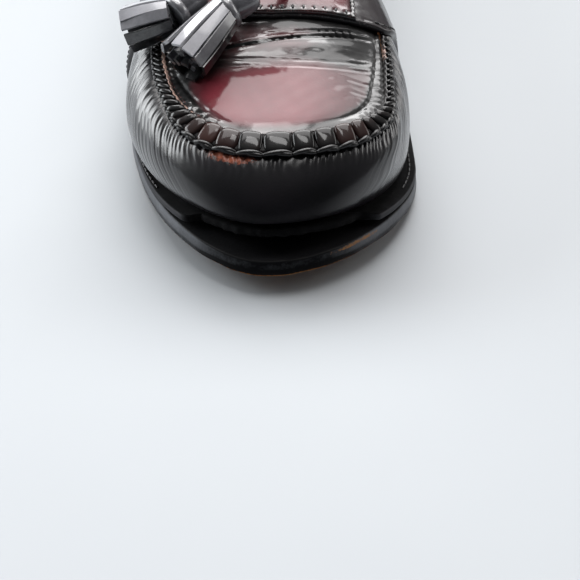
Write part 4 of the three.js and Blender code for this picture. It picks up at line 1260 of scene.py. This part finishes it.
plug_wear = 0.3 * bell(inset - 4.2, 0.9) * on_side * (turn < 0) + 0.2 * bell(inward - 6.2, 1.5) * (1 - on_side)
points, faces = shell(plug_base + plug_out * plug_rise[..., None], plug_base - plug_out * PLUG_THICKNESS)
plug = build("apron", points, faces,
             {"tone": both_sides(plug_tone_and_shade), "wear": both_sides(plug_wear), "dull": both_sides(plug_dull)}, sharp=60)
finish_piece(plug, plug_leather, "plug", "plug")

# %% [markdown]
# ## The gathered seam
# Four layers lie over the line where wall and apron meet: a dark band underneath, the row of
# lugs, the apron's raw edge standing up inside it, and the thick waxed thread along its outer
# side. The lugs repeat, so Geometry Nodes sets them: one pillow, placed on a point for each
# gather, turned and scaled by attributes of that point.

# %% Places on both sides of the seam
def turn_to_inside(u):
    run = top_edge(u + 0.004) - top_edge(u - 0.004)
    run[..., 2] = 0
    run = unit(run)
    return np.stack([-run[..., 1], run[..., 0], np.zeros_like(u)], -1)


def on_wall(u, reach, lift):
    _, along, _ = around(u)
    run = 3 * BALL_WIDTH * np.hypot(smooth(WALL, "high_out", along), smooth(WALL, "high_down", along))
    b = 1 - reach / run
    return wall_point(u, b) + wall_normal(u, b) * np.asarray(lift)[..., None]


def on_plug(u, reach, lift):
    spot = top_edge(u) + turn_to_inside(u) * np.asarray(reach)[..., None]
    along = np.clip((spot[..., 1] - SEAM_SETBACK) / TOP_SPAN, 0, 1)
    left, right = top_half(-1, along), top_half(1, along)
    c = np.clip((spot[..., 0] + left) / np.maximum(left + right, 1), 0, 1)
    y = np.maximum(spot[..., 1], SEAM_SETBACK)
    return vamp_point(y, c) + vamp_normal(y, c) * np.asarray(lift)[..., None]


def over_seam(u, place, lift):
    """place runs from -1 on the wall over 0, the seam itself, to 1 on the apron"""
    lift = np.broadcast_to(lift, np.shape(u))
    wall = on_wall(u, wall_reach(u) * np.maximum(-place, 0), lift)
    apron = on_plug(u, apron_reach(u) * np.maximum(place, 0), lift)
    side = ramp(place, -0.35, 0.35)
    return wall * (1 - side[..., None]) + apron * side[..., None]


# %% The band under the lugs
band_u = np.linspace(-seam_end, seam_end, 900)
band_w = np.linspace(-1, 1, 17)
U, W = np.meshgrid(band_u, band_w, indexing="ij")
phase = gather_phase(U)
mound = np.sqrt(np.maximum(1 - np.abs(W) ** 2.5, 0)) * (0.7 + 0.3 * seam_front(U))
band_top = over_seam(U, W, 0.35 + mound * (0.75 + 0.35 * np.abs(np.sin(np.pi * phase))))
band_foot = over_seam(U, W, 0.1 + 0.0 * U)
points, faces = shell(band_top, band_foot)
band = build("seam_band", points, faces, {"tone": both_sides(np.full_like(U, 1.0)),
                                             "dull": both_sides(np.full_like(U, 0.9))}, sharp=60)
finish_piece(band, seam_leather, "seam", "apron_seam")


# %% A tree that sets one shape on many points
def geometry_tree(name, extra):
    tree = bpy.data.node_groups.new(name, "GeometryNodeTree")
    tree.interface.new_socket(name="Points", in_out="INPUT", socket_type="NodeSocketGeometry")
    for title, kind, value in extra:
        socket = tree.interface.new_socket(name=title, in_out="INPUT", socket_type="NodeSocket" + kind)
        if value is not None:
            socket.default_value = value
    tree.interface.new_socket(name="Pieces", in_out="OUTPUT", socket_type="NodeSocketGeometry")
    return tree, tree.nodes.new("NodeGroupInput").outputs, tree.nodes.new("NodeGroupOutput").inputs


def attribute(tree, name):
    node = add(tree, "GeometryNodeInputNamedAttribute", {"Name": name}, data_type="FLOAT_VECTOR")
    return node.outputs["Attribute"]


def set_on_points(tree, given, put, shape):
    turn = add(tree, "FunctionNodeEulerToRotation", {0: attribute(tree, "turn")}).outputs[0]
    placed = add(tree, "GeometryNodeInstanceOnPoints", {
        "Points": given["Points"], "Instance": shape, "Rotation": turn, "Scale": attribute(tree, "size")})
    real = add(tree, "GeometryNodeRealizeInstances", {"Geometry": placed.outputs[0]}).outputs[0]
    soft = add(tree, "GeometryNodeSetShadeSmooth", {"Geometry": real}).outputs[0]
    finished = add(tree, "GeometryNodeSetMaterial", {"Geometry": soft, "Material": given["Material"]}).outputs[0]
    tree.links.new(finished, put["Pieces"])


tree, given, put = geometry_tree("gathered lugs", [
    ("Roundness", "Float", 0.4), ("Material", "Material", None)])
block = add(tree, "GeometryNodeMeshCube", {"Size": (1.0, 1.0, 1.0)}).outputs["Mesh"]
square = math_node(tree, "SUBTRACT", 1.0, given["Roundness"])
pillow = add(tree, "GeometryNodeSubdivisionSurface", {"Mesh": block, "Level": 3, "Edge Crease": square}).outputs[0]
set_on_points(tree, given, put, pillow)
lug_tree = tree

tree, given, put = geometry_tree("rows of stitches", [
    ("Length", "Float", 0.002), ("Thickness", "Float", 0.0005), ("Bow", "Float", 0.0004),
    ("Material", "Material", None)])
half = math_node(tree, "MULTIPLY", given["Length"], 0.5)
start = add(tree, "ShaderNodeCombineXYZ", {0: math_node(tree, "MULTIPLY", half, -1.0)}).outputs[0]
middle = add(tree, "ShaderNodeCombineXYZ", {2: math_node(tree, "MULTIPLY", given["Bow"], 2.0)}).outputs[0]
end = add(tree, "ShaderNodeCombineXYZ", {0: half}).outputs[0]
arc = add(tree, "GeometryNodeCurveQuadraticBezier", {"Resolution": 5, "Start": start, "Middle": middle, "End": end})
radius = math_node(tree, "MULTIPLY", given["Thickness"], 0.5)
ring = add(tree, "GeometryNodeCurvePrimitiveCircle", {"Resolution": 6, "Radius": radius})
yarn = add(tree, "GeometryNodeCurveToMesh", {"Curve": arc.outputs[0], "Profile Curve": ring.outputs[0],
                                             "Fill Caps": True}).outputs[0]
set_on_points(tree, given, put, yarn)
stitch_tree = tree
print("geometry trees:", lug_tree.name, "and", stitch_tree.name)


# %% Points with a turn and a size, and the plain mesh that the tree makes of them
def turns_from(along, out):
    along, out = unit(along), unit(out)
    side = unit(np.cross(out, along))
    out = np.cross(along, side)
    found = [Matrix(np.stack([a, s, o], -1).tolist()).to_euler() for a, s, o in zip(along, side, out)]
    return np.array([tuple(turn) for turn in found])


def set_pieces(name, tree, places, turns, sizes, inputs):
    mesh = bpy.data.meshes.new(name + "_points")
    mesh.from_pydata(to_frame(places).tolist(), [], [])
    for title, values in (("turn", turns), ("size", sizes)):
        layer = mesh.attributes.new(title, "FLOAT_VECTOR", "POINT")
        layer.data.foreach_set("vector", np.asarray(values, np.float32).ravel())
    holder = bpy.data.objects.new(name + "_points", mesh)
    bpy.context.collection.objects.link(holder)
    modifier = holder.modifiers.new("pieces", "NODES")
    modifier.node_group = tree
    sockets = {item.name: item.identifier for item in tree.interface.items_tree if item.in_out == "INPUT"}
    for title, value in inputs.items():
        modifier[sockets[title]] = value
    depsgraph = bpy.context.evaluated_depsgraph_get()
    made = bpy.data.meshes.new_from_object(holder.evaluated_get(depsgraph))
    made.name = name
    bpy.data.objects.remove(holder)
    for title in ("turn", "size"):
        if title in made.attributes:
            made.attributes.remove(made.attributes[title])
    piece = bpy.data.objects.new(name, made)
    bpy.context.collection.objects.link(piece)
    return piece


# %% The lugs
lug_at = (gathers[:-1] + gathers[1:]) / 2
pitch_at = np.diff(np.interp(gathers, seam_u, seam_run))
front_at = seam_front(lug_at)
random = np.random.default_rng(7)
wall_end = over_seam(lug_at, np.full(lug_count, -0.8), 0.1)
apron_end = over_seam(lug_at, np.full(lug_count, 0.75), 0.5 + 0.9 * front_at)
crown = over_seam(lug_at, np.zeros(lug_count), 1.0)
across = apron_end - wall_end
along = top_edge(lug_at + 0.003) - top_edge(lug_at - 0.003)
slant = 1.3 * (1 - front_at) * -np.sign(lug_at)
across = unit(across) + unit(along) * slant[:, None]
out = np.cross(unit(along), unit(across))
side_on = np.cross(unit(across), unit(out))
middle = crown * 0.5 + (wall_end + apron_end) * 0.25
reach_at = wall_reach(lug_at) + apron_reach(lug_at)
sizes = np.stack([pitch_at * (0.72 + 0.35 * front_at) * random.uniform(0.94, 1.03, lug_count),
                  reach_at * random.uniform(0.95, 1.04, lug_count) * (1.65 - 0.55 * front_at),
                  (2.2 + 1.5 * front_at) * random.uniform(0.9, 1.1, lug_count)], -1) / 1000
lugs = set_pieces("seam_lugs", lug_tree, middle, turns_from(side_on, out), sizes,
                  {"Roundness": 0.72, "Material": seam_leather})
corners = len(lugs.data.vertices) // lug_count
lug_tone = 1 - 0.5 * bell(lug_at + 0.085, 0.035) - 0.4 * bell(lug_at - 0.09, 0.02)
lug_dull = 0.15 * front_at
for title, value in (("tone", lug_tone), ("dull", lug_dull)):
    values = np.repeat(value, corners).astype(np.float32)
    lugs.data.attributes.new(title, "FLOAT", "POINT").data.foreach_set("value", values)
finish_piece(lugs, seam_leather, "seam", "apron_seam")

# %% The raw edge of the apron, standing up inside the lugs
edge_u = np.linspace(-seam_end, seam_end, 1100)
phase = gather_phase(edge_u)
pulled = np.abs(np.sin(np.pi * phase))
reach = apron_reach(edge_u) + 0.35 - 0.25 * pulled + 0.08 * ripple(edge_u * 200, 0 * edge_u, 8.0, 41)
foot = on_plug(edge_u, reach, np.full_like(edge_u, -0.2))
head = on_plug(edge_u, reach - 0.1, np.full_like(edge_u, 1.0))
over = unit(head - foot)
_, side, _ = frames(foot, (0, 0, 1))
height = 1.3 - 0.75 * seam_front(edge_u) + 0.2 * pulled + 0.12 * ripple(edge_u * 200, 0 * edge_u, 5.0, 42)
shape = np.array([(-0.34, 0), (-0.34, 0.6), (-0.28, 0.9), (-0.12, 1), (0.12, 1), (0.28, 0.9), (0.34, 0.6), (0.34, 0)])
section = shape[None] * np.stack([np.ones_like(height), height], -1)[:, None]
points, faces = sweep(foot, side, over, section)
bare = np.where(edge_u < -0.125, 0.8, 0.1) + 0.4 * bell(edge_u - 0.275, 0.02)
bare = bare * (0.6 + 0.4 * ripple(edge_u * 200, 0 * edge_u, 12.0, 43))
raw_edge = build("apron_raw_edge", points, faces, {
    "wear": np.repeat(np.clip(bare, 0, 1), 8), "tone": np.full(len(points), 0.95),
    "dull": np.repeat(0.3 + 0.6 * seam_front(edge_u), 8)}, sharp=80)
finish_piece(raw_edge, seam_leather, "seam", "apron_seam")


# %% The thread: two strands, pinched where it dives between two lugs, so each lug has one link
def strands(path, side, over, phase, strand_radius, offset, sides=8):
    made = []
    swell = 0.5 + 0.5 * np.abs(np.sin(np.pi * phase)) ** 0.6
    for k in (-1, 1):
        lean = k * offset * swell
        line = path + side * (lean * np.cos(np.pi * (phase % 1)))[:, None] + over * (lean * 0.5)[:, None]
        section = circle(1.0, sides)[None] * (strand_radius * swell)[:, None, None]
        made.append(sweep(line, side, over, section))
    return merged(made)


thread_u = np.linspace(-seam_end, seam_end, 1500)
phase = gather_phase(thread_u)
thick = 0.7 + 0.5 * seam_front(thread_u)
dive = 1.1 * np.abs(np.sin(np.pi * phase)) ** 0.6 * thick
path = on_wall(thread_u, wall_reach(thread_u) + 0.55 * thick, 0.05 + dive)
_, side, over = frames(path, (0, 0, 1))
thread = build("seam_thread", *strands(path, side, over, phase, 0.78 * thick, 0.4 * thick), sharp=80)
finish_piece(thread, thread_wax, "seam", "apron_seam")

# %% [markdown]
# ## Tongue, saddle and tab
# The tongue goes on from the apron under the saddle and comes up at the throat. The saddle is
# a strap across the instep, cut from firmer leather: its front edge stands a little off the
# apron and throws a shadow on it. A burgundy tab is stitched on its middle.

# %% Tongue
def tongue_point(y, c):
    throat = SHOE_LENGTH * SADDLE["back"][3]
    point = vamp_point(np.minimum(y, throat), c, UPPER_WALL + CLEARANCE)
    free = np.maximum(y - throat, 0) / (TONGUE_END - throat)
    height = point[..., 2] + TONGUE_RISE * free * (1.15 - 0.15 * free)
    return np.stack([point[..., 0] * (1 - 0.1 * free**3), y + 0 * c, height], -1)


tongue_y, tongue_high = rounded_run(TONGUE_START, TONGUE_END, TONGUE_END - TONGUE_START, 1.0, 60)
tongue_c, tongue_wide = rounded_run(0, 1, 58, 1.0, 60)
Y, C = np.meshgrid(tongue_y, tongue_c, indexing="ij")
free = np.clip((Y - 115.5) / (TONGUE_END - 115.5), 0, 1)
tongue_base = tongue_point(Y, C)
tongue_out = unit(np.cross(np.gradient(tongue_base, axis=1), np.gradient(tongue_base, axis=0)))
high = tongue_high[:, None] * tongue_wide[None, :]
soft = 0.3 * ripple(tongue_base[..., 0], Y, 26.0, 51) * free
points, faces = shell(tongue_base + tongue_out * (soft - 1.2 * (1 - high))[..., None],
                      tongue_base + tongue_out * (soft - TONGUE_THICKNESS + 1.2 * (1 - high))[..., None])
tongue = build("tongue_flap", points, faces, {"tone": both_sides(0.62 + 0 * Y + 0.3 * (1 - high))}, sharp=60)
finish_piece(tongue, plug_leather, "plug", "tongue")


# %% An overlay: a strap of even thickness over wall and apron, with rounded borders
def overlay(name, V, Y, high, lift, thickness, detail=0.0, fields=None):
    base = over_point(V, Y)
    out = surface_normals(base)
    top = base + out * (lift + thickness * high + detail * high)[..., None]
    points, faces = shell(top, base + out * lift)
    values = {field: both_sides(value) for field, value in (fields or {}).items()}
    return build(name, points, faces, values, sharp=60), base, out


# %% Saddle
SADDLE_FOOT = 1.94
side_run, _ = rounded_run(-SADDLE_FOOT, -1, 52, 1.0, 74, (True, False))
middle_run = np.linspace(-1, 1, 190)
saddle_v = np.concatenate([side_run, middle_run[1:-1], -side_run[::-1]])
_, side_high = rounded_run(0, 1, 52, 1.0, 74, (True, False))
saddle_wide = np.concatenate([side_high, np.ones(188), side_high[::-1]])
saddle_share, saddle_high = rounded_run(0, 1, 37, 0.75, 80)
V, S = np.meshgrid(saddle_v, saddle_share, indexing="ij")
Y = saddle_y(V, S)
saddle_x = over_point(V, Y)[..., 0]
behind = Y - saddle_y(V, 0.0)
before = saddle_y(V, 1.0) - Y
sunk = -0.16 * bell(before - 2.2, 0.5) - 0.16 * bell(behind - 2.2, 0.5) * (np.abs(V) > 0.8)
worn = 0.16 * ripple(saddle_x, Y, 24.0, 61) + 0.05 * ripple(saddle_x, Y, 6.0, 62)
bent = -0.35 * bell(np.abs(V) - 1.02, 0.05) + 0.2 * bell(np.abs(V) - 1.25, 0.08)
tone = 0.9 - 0.25 * bell(np.abs(V) - 0.95, 0.25)
wear = 0.28 * bell(behind - 0.35, 0.5) + 0.12 * bell(before - 0.3, 0.4)
high = saddle_wide[:, None] * saddle_high[None, :]
saddle, saddle_base, saddle_out = overlay(
    "saddle_strap", V, Y, high, LAYER_GAP, OVERLAY, sunk + worn + bent, {"tone": tone, "wear": wear})
finish_piece(saddle, strap_leather, "saddle", "saddle")

# %% Tab
TAB_LIFT = LAYER_GAP + OVERLAY + 0.05
TAB_FRONT = 0.015
MARK_PITCH = 3.6
MARK_SETBACK = 2.0
row, row_high = rounded_run(-1, 1, TAB_WIDTH, 0.55, 120)
tab_share, tab_high = rounded_run(TAB_FRONT, 0.93, 34, 0.9, 96)
R, S = np.meshgrid(row, tab_share, indexing="ij")
along = (saddle_y(0.0, S) - SEAM_SETBACK) / TOP_SPAN
half = (top_half(-1, along) + top_half(1, along)) / 2
V = R * TAB_WIDTH / 2 / half
Y = saddle_y(V, S)
from_side = (1 - np.abs(R)) * TAB_WIDTH / 2
from_front, from_back = Y - saddle_y(V, TAB_FRONT), saddle_y(V, 0.93) - Y
from_edge = np.minimum(np.minimum(from_side, from_front), from_back)
beads = 0.1 * np.sin(2 * np.pi * Y / 1.8) * bell(from_side - 0.5, 0.4)
mark_row = np.abs(np.sin(np.pi * V * half / MARK_PITCH)) ** 1.5
puckers = -0.26 * bell(from_front - MARK_SETBACK, 0.55) * (1 - mark_row)
puckers += 0.08 * bell(from_front - MARK_SETBACK, 1.4) * mark_row
sewn = np.minimum(from_side, from_back)
tab_detail = -0.2 * bell(sewn - 1.7, 0.45) + beads + puckers + 0.18 * ripple(V * half, Y, 20.0, 63)
tab_detail += 0.04 * ripple(V * half, Y, 5.0, 64)
tone = 0.45 + 0.5 * (1 - ramp(from_edge, 0.4, 5.0)) + 0.15 * ripple(V * half, Y, 16.0, 65)
tab, tab_base, tab_out = overlay("saddle_panel", V, Y, row_high[:, None] * tab_high[None, :], TAB_LIFT, TAB,
                                 tab_detail, {"tone": tone, "wear": 0.3 * bell(from_edge - 0.4, 0.35)})
finish_piece(tab, plug_leather, "tab", "saddle_tab")

# %% [markdown]
# ## Backstay and collar bands
# The strip at the heel covers the closing seam of the two quarters. The bands stiffen the
# topline. Both follow the wall at the same distance, so they are cut from its own surface.

# %% Backstay
def on_wall_overlay(name, U, B, high, detail, fields=None):
    base = wall_point(U, B)
    out = surface_normals(base)
    top = base + out * (LAYER_GAP + (OVERLAY + detail) * high)[..., None]
    points, faces = shell(top, base + out * LAYER_GAP)
    values = {field: both_sides(value) for field, value in (fields or {}).items()}
    return build(name, points, faces, values, sharp=60), base, out


heel_arc = np.linalg.norm(sole_point(np.array(0.97)) - sole_point(np.array(1.03))) / 0.06
stay_b, stay_high = rounded_run(0.05, 0.985, 74, 0.8, 70)
stay_w, stay_wide = rounded_run(-1, 1, 20, 0.8, 26)
B, W = np.meshgrid(stay_b, stay_w, indexing="ij")
half = (22 - 7 * B) / 2 / heel_arc
U = 1 + half * W
stay_edge = np.minimum((1 - np.abs(W)) * half * heel_arc, (0.985 - B) * 74)
detail = -0.18 * bell(stay_edge - 2.0, 0.5) + 0.15 * ripple(W * 10, B * 74, 14.0, 71)
U, B, W = U.T, B.T, W.T
backstay, stay_base, stay_out = on_wall_overlay(
    "heel_strip", U, B, stay_high[None, :] * stay_wide[:, None], detail.T,
    {"tone": 0.85 + 0 * U, "wear": 0.2 * bell(stay_edge.T - 0.4, 0.4)})
finish_piece(backstay, strap_leather, "saddle", "backstay")

# %% Collar bands
band_run = np.linalg.norm(top_edge(np.array(0.7)) - wall_point(np.array(0.7), np.array(0.0)))
band_low = 1 - 9.0 / band_run
stitch_lines = []
for sign, side in ((-1, "outer"), (1, "inner")):
    start = abs(float(wall_line_at(float(sign), 0.9, SHOE_LENGTH * SADDLE["back"][1]))) + 0.025
    stop = 1 - (15 / 2 + 3) / heel_arc
    turn, turn_high = rounded_run(start, stop, 130, 0.7, 170)
    band_b, band_high = rounded_run(band_low, 0.995, 9, 0.7, 22)
    U, B = np.meshgrid(np.sort(sign * turn), band_b, indexing="ij")
    low_edge, top_gap = (B - band_low) * band_run, (0.995 - B) * band_run
    detail = -0.18 * bell(low_edge - 1.8, 0.5) - 0.14 * bell(top_gap - 1.8, 0.5)
    detail = detail + 0.14 * ripple(U * 150, B * 60, 16.0, 72)
    piece, base, out = on_wall_overlay(f"collar_strip_{side}", U, B, turn_high[:, None] * band_high[None, :],
                                       detail, {"tone": 0.85 + 0 * U, "wear": 0.22 * bell(low_edge - 0.4, 0.4)})
    finish_piece(piece, strap_leather, "saddle", f"collar_band_{side}")
    for gap in (1.8, 7.2):
        line_b = band_low + gap / band_run
        line_u = np.linspace(sign * turn[8], sign * turn[-9], 400)
        line = wall_point(line_u, line_b) + wall_normal(line_u, line_b) * (LAYER_GAP + OVERLAY - 0.1)
        stitch_lines.append((line, wall_normal(line_u, line_b)))

# %% [markdown]
# ## Stitches
# A machine sews 9 stitches to the inch here, so a stitch comes every 2.8 mm. The rows follow
# the borders of the overlays. Each row is a list of points at that spacing, and the second
# geometry tree puts one short bowed yarn on each.

# %% Stitch rows
def spaced(line, out, pitch):
    run = np.concatenate([[0], np.cumsum(np.linalg.norm(np.diff(line, axis=0), axis=1))])
    count = max(int(run[-1] / pitch), 1)
    at = (np.arange(count) + 0.5) * run[-1] / count
    places = np.stack([np.interp(at, run, line[:, k]) for k in range(3)], -1)
    ahead = np.stack([np.interp(at + 0.4, run, line[:, k]) for k in range(3)], -1)
    behind = np.stack([np.interp(at - 0.4, run, line[:, k]) for k in range(3)], -1)
    normals = np.stack([np.interp(at, run, out[:, k]) for k in range(3)], -1)
    return places, ahead - behind, unit(normals)


def stitches(name, lines, pitch, length, thickness, material, slot, *nodes):
    rows = [spaced(line, out, pitch) for line, out in lines]
    places = np.concatenate([row[0] for row in rows])
    turns = np.concatenate([turns_from(row[1], row[2]) for row in rows])
    piece = set_pieces(name, stitch_tree, places, turns, np.ones_like(places), {
        "Length": length / 1000, "Thickness": thickness / 1000, "Bow": thickness * 0.55 / 1000,
        "Material": material})
    finish_piece(piece, material, slot, *nodes)
    print(f"{name}: {len(places)} stitches")


def over_line(v, y, lift):
    base = over_point(v, y)
    out = over_normal(v, y)
    return base + out * lift, out


strap_lines = list(stitch_lines)
for gap, share in ((-2.2, 1.0),):
    v = np.linspace(-1.88, 1.88, 600)
    strap_lines.append(over_line(v, saddle_y(v, share) + gap, LAYER_GAP + OVERLAY - 0.1))
for sign in (-1, 1):
    v = sign * np.linspace(0.9, 1.88, 260)
    strap_lines.append(over_line(v, saddle_y(v, 0.0) + 2.2, LAYER_GAP + OVERLAY - 0.1))
    b = np.linspace(0.08, 0.95, 240)
    u = 1 + sign * ((22 - 7 * b) / 2 - 2.0) / heel_arc
    out = wall_normal(u, b)
    strap_lines.append((wall_point(u, b) + out * (LAYER_GAP + OVERLAY - 0.1), out))
stitches("strap_stitches", strap_lines, 2.8, 2.0, 0.5, thread_wax, "saddle", "saddle")

tab_lines = []
tab_top = TAB_LIFT + TAB - 0.08
for sign in (-1, 1):
    share = np.linspace(0.08, 0.88, 200)
    y = saddle_y(0.0, share)
    along = (y - SEAM_SETBACK) / TOP_SPAN
    half = (top_half(-1, along) + top_half(1, along)) / 2
    v = sign * (TAB_WIDTH / 2 - 1.7) / half
    tab_lines.append(over_line(v, saddle_y(v, share), tab_top))
v = np.linspace(-0.78, 0.78, 240)
tab_lines.append(over_line(v, saddle_y(v, 0.93) - 1.7, tab_top))
stitches("tab_stitches", tab_lines, 1.8, 1.2, 0.45, thread_wax, "tab", "saddle_tab")

welt_u = np.concatenate([np.linspace(-0.97, -0.24, 1000), np.linspace(0.24, 0.97, 1000)])
_, along, _ = around(welt_u)
welt_line = np.concatenate([sole_edge(welt_u, np.full_like(welt_u, 2.7)), (welt_top(along) + 0.02)[:, None]], -1)
upright = np.tile([0.0, 0, 1], (1000, 1))
stitches("welt_stitches", [(welt_line[:1000], upright), (welt_line[1000:], upright)], 3.3, 2.5, 0.6,
         thread_wax, "welt", "welt")

# %% The puckered stitches at the tab's front edge
mark_x = (np.arange(-7, 8)) * MARK_PITCH
along = (saddle_y(0.0, TAB_FRONT) - SEAM_SETBACK) / TOP_SPAN
v = mark_x / ((top_half(-1, along) + top_half(1, along)) / 2)
y = saddle_y(v, TAB_FRONT) + MARK_SETBACK
out = over_normal(v, y)
spots = over_point(v, y) + out * (TAB_LIFT + TAB - 0.38)
run = over_point(v + 0.01, saddle_y(v + 0.01, 0.0)) - over_point(v - 0.01, saddle_y(v - 0.01, 0.0))
ahead = np.cross(out, unit(run))
marks = set_pieces("tab_puckers", stitch_tree, spots, turns_from(ahead, out), np.ones_like(spots), {
    "Length": 0.0015, "Thickness": 0.001, "Bow": 0.0002, "Material": thread_wax})
finish_piece(marks, thread_wax, "tab", "saddle_tab")

# %% [markdown]
# ## Knot, lace bars and tassels
# The lace comes out of a slot on each side of the saddle, runs to the middle and is wrapped
# round itself. A tassel is a strip of leather, cut into a fringe and rolled up, with a bound
# head. Each strip of its skirt has its own bend and length, since no two fall alike.

# %% Lace bars and knot
KNOT_Y = 110.5
KNOT_SLANT = 0.12
KNOT_LENGTH = 15.0
knot_lift = LAYER_GAP + OVERLAY + CLEARANCE + TAB + CLEARANCE + 4.6 + 0.4
knot_centre = over_point(-0.02, KNOT_Y) + over_normal(-0.02, KNOT_Y) * knot_lift
for sign, side in ((-1, "outer"), (1, "inner")):
    on_strap = LAYER_GAP + OVERLAY + CLEARANCE + LACE / 2
    over_tab = on_strap + TAB + CLEARANCE
    marks = [(1.03, KNOT_Y - 1, on_strap + 0.2), (0.94, KNOT_Y - 0.6, over_tab + 0.3), (0.62, KNOT_Y, over_tab + 0.3)]
    points = [over_point(sign * v, y) + over_normal(sign * v, y) * lift for v, y, lift in marks]
    last = knot_centre.copy()
    last[0] += sign * (KNOT_LENGTH / 2 + CLEARANCE + 0.7)
    last[1] += sign * KNOT_LENGTH * 0.5 * KNOT_SLANT
    path, _ = catmull(points + [last], 40)
    bar = build(f"{side}_bar", *tube(path, LACE / 2, 14))
    finish_piece(bar, lace_leather, "lace", f"lace_bar_{side}")

axis = unit(np.array([1.0, KNOT_SLANT, 0.0]))
swing = np.cross([0.0, 0, 1], axis)
turns = np.linspace(0, 2 * np.pi * 4, 220)
reach = 3.05 + 0.12 * np.sin(turns * 0.5)
coil = knot_centre + axis * ((turns / turns[-1] - 0.5) * (KNOT_LENGTH - LACE - 0.6))[:, None]
coil = coil + swing * (reach * np.cos(turns))[:, None] + np.array([0, 0, 1.0]) * (reach * np.sin(turns))[:, None]
core = knot_centre + axis * np.linspace(-KNOT_LENGTH / 2, KNOT_LENGTH / 2, 12)[:, None]
knot = build("wrapped_knot", *merged([tube(coil, LACE / 2 - 0.1, 12, axis), tube(core, 2.9, 20)]))
finish_piece(knot, lace_leather, "lace", "lace_knot")


# %% Tassels
STRIPS = 10
FLARE = {"near": 2.7, "outer": 1.7}


def strip(tassel, flare, angle, seed):
    rim, end = np.array(tassel["rim"]), np.array(tassel["end"])
    axis = unit(end - rim)
    length = np.linalg.norm(end - rim)
    over = unit(np.array([0, 0, 1.0]) - axis * axis[2])
    side = np.cross(axis, over)
    random = np.random.default_rng(seed)
    angle = angle + random.uniform(-0.07, 0.07)
    length *= random.uniform(0.93, 1.02)
    s = np.linspace(0, 1, 22)
    fan = 5.5 + flare * s + random.uniform(-0.5, 0.5) * s**2 + 0.4 * np.sin(np.pi * s)
    sway = angle + random.uniform(-0.12, 0.12) * s**1.5
    roll = sway + random.uniform(-0.25, 0.25) * s**2
    radial = over * np.cos(sway)[:, None] + side * np.sin(sway)[:, None]
    path = rim + axis * (length * s)[:, None] + radial * fan[:, None]
    face = over * np.cos(roll)[:, None] + side * np.sin(roll)[:, None]
    across = unit(np.cross(axis, face))
    width = 1.72 + 0.2 * flare * s
    thick = 0.6
    shape = np.array([(-1, -0.8), (-0.99, 0.8), (-0.94, 1), (0, 1.06), (0.94, 1), (0.99, 0.8), (1, -0.8), (0, -0.9)])
    section = shape[None] * np.stack([width, np.full_like(width, thick)], -1)[:, None]
    return sweep(path, across, unit(np.cross(across, axis)), section)


def fringe_core(tassel):
    rim, end = np.array(tassel["rim"]), np.array(tassel["end"])
    axis = unit(end - rim)
    length = np.linalg.norm(end - rim)
    parts = []
    for ring, (radius, count) in enumerate(((4.0, 9), (2.0, 5))):
        for k in range(count):
            over = unit(np.array([0, 0, 1.0]) - axis * axis[2])
            side = np.cross(axis, over)
            angle = 2 * np.pi * (k + 0.4 * ring) / count
            out = over * math.cos(angle) + side * math.sin(angle)
            stop = length * (0.98 - 0.05 * ((k * 7 + ring) % 3))
            path = rim + axis * np.linspace(-0.5, stop, 8)[:, None] + out * radius
            section = np.array([(-1.5, -0.8), (-1.5, 0.8), (1.5, 0.8), (1.5, -0.8)])
            parts.append(sweep(path, np.cross(axis, out) + 0 * path, out + 0 * path, section))
    return parts


def tassel_head(tassel):
    top, rim = np.array(tassel["top"]), np.array(tassel["rim"])
    run = np.linalg.norm(rim - top)
    profile = [(0.2, 0.0), (1.8, 0.0), (2.9, 0.2), (3.9, 0.8), (4.7, 1.8), (5.15, 3.2), (5.3, run * 0.42),
               (5.35, run - 4.4), (5.1, run - 4.0), (5.1, run - 3.7), (5.6, run - 3.3), (6.2, run - 2.6),
               (6.5, run - 1.7), (6.5, run - 1.0), (6.2, run - 0.4), (5.4, run), (0.2, run)]
    return turned(profile, top, rim, 40)


for side, tassel in (("near", NEAR), ("outer", OUTER)):
    seed = 100 if side == "near" else 200
    offset = 0.1 if side == "near" else 0.3
    skirt = [strip(tassel, FLARE[side], offset + 2 * np.pi * k / STRIPS, seed + k) for k in range(STRIPS)]
    skirt_points, skirt_faces = merged(skirt)
    core_points, core_faces = merged(fringe_core(tassel))
    head_points, head_faces = tassel_head(tassel)
    # Strips that face up are painted pale, painted sheen and light from above; strips that face down are painted dark,
    # painted shade. Each strip also varies at random.
    upward = np.maximum(np.cos(offset + 2 * np.pi * np.arange(STRIPS) / STRIPS), 0)
    strip_light_and_shade = 0.98 - 0.6 * upward + np.random.default_rng(seed).uniform(-0.12, 0.12, STRIPS)
    tones = np.concatenate([np.repeat(strip_light_and_shade, 22 * 8),
                            np.full(len(core_points), 0.9), np.full(len(head_points), 0.75)])
    points, faces = merged([(skirt_points, skirt_faces), (core_points, core_faces), (head_points, head_faces)])
    made = build(f"{side}_tassel", points, faces, {"tone": tones}, sharp=38)
    finish_piece(made, tassel_sheen_leather, "tassel", f"tassel_{side}")
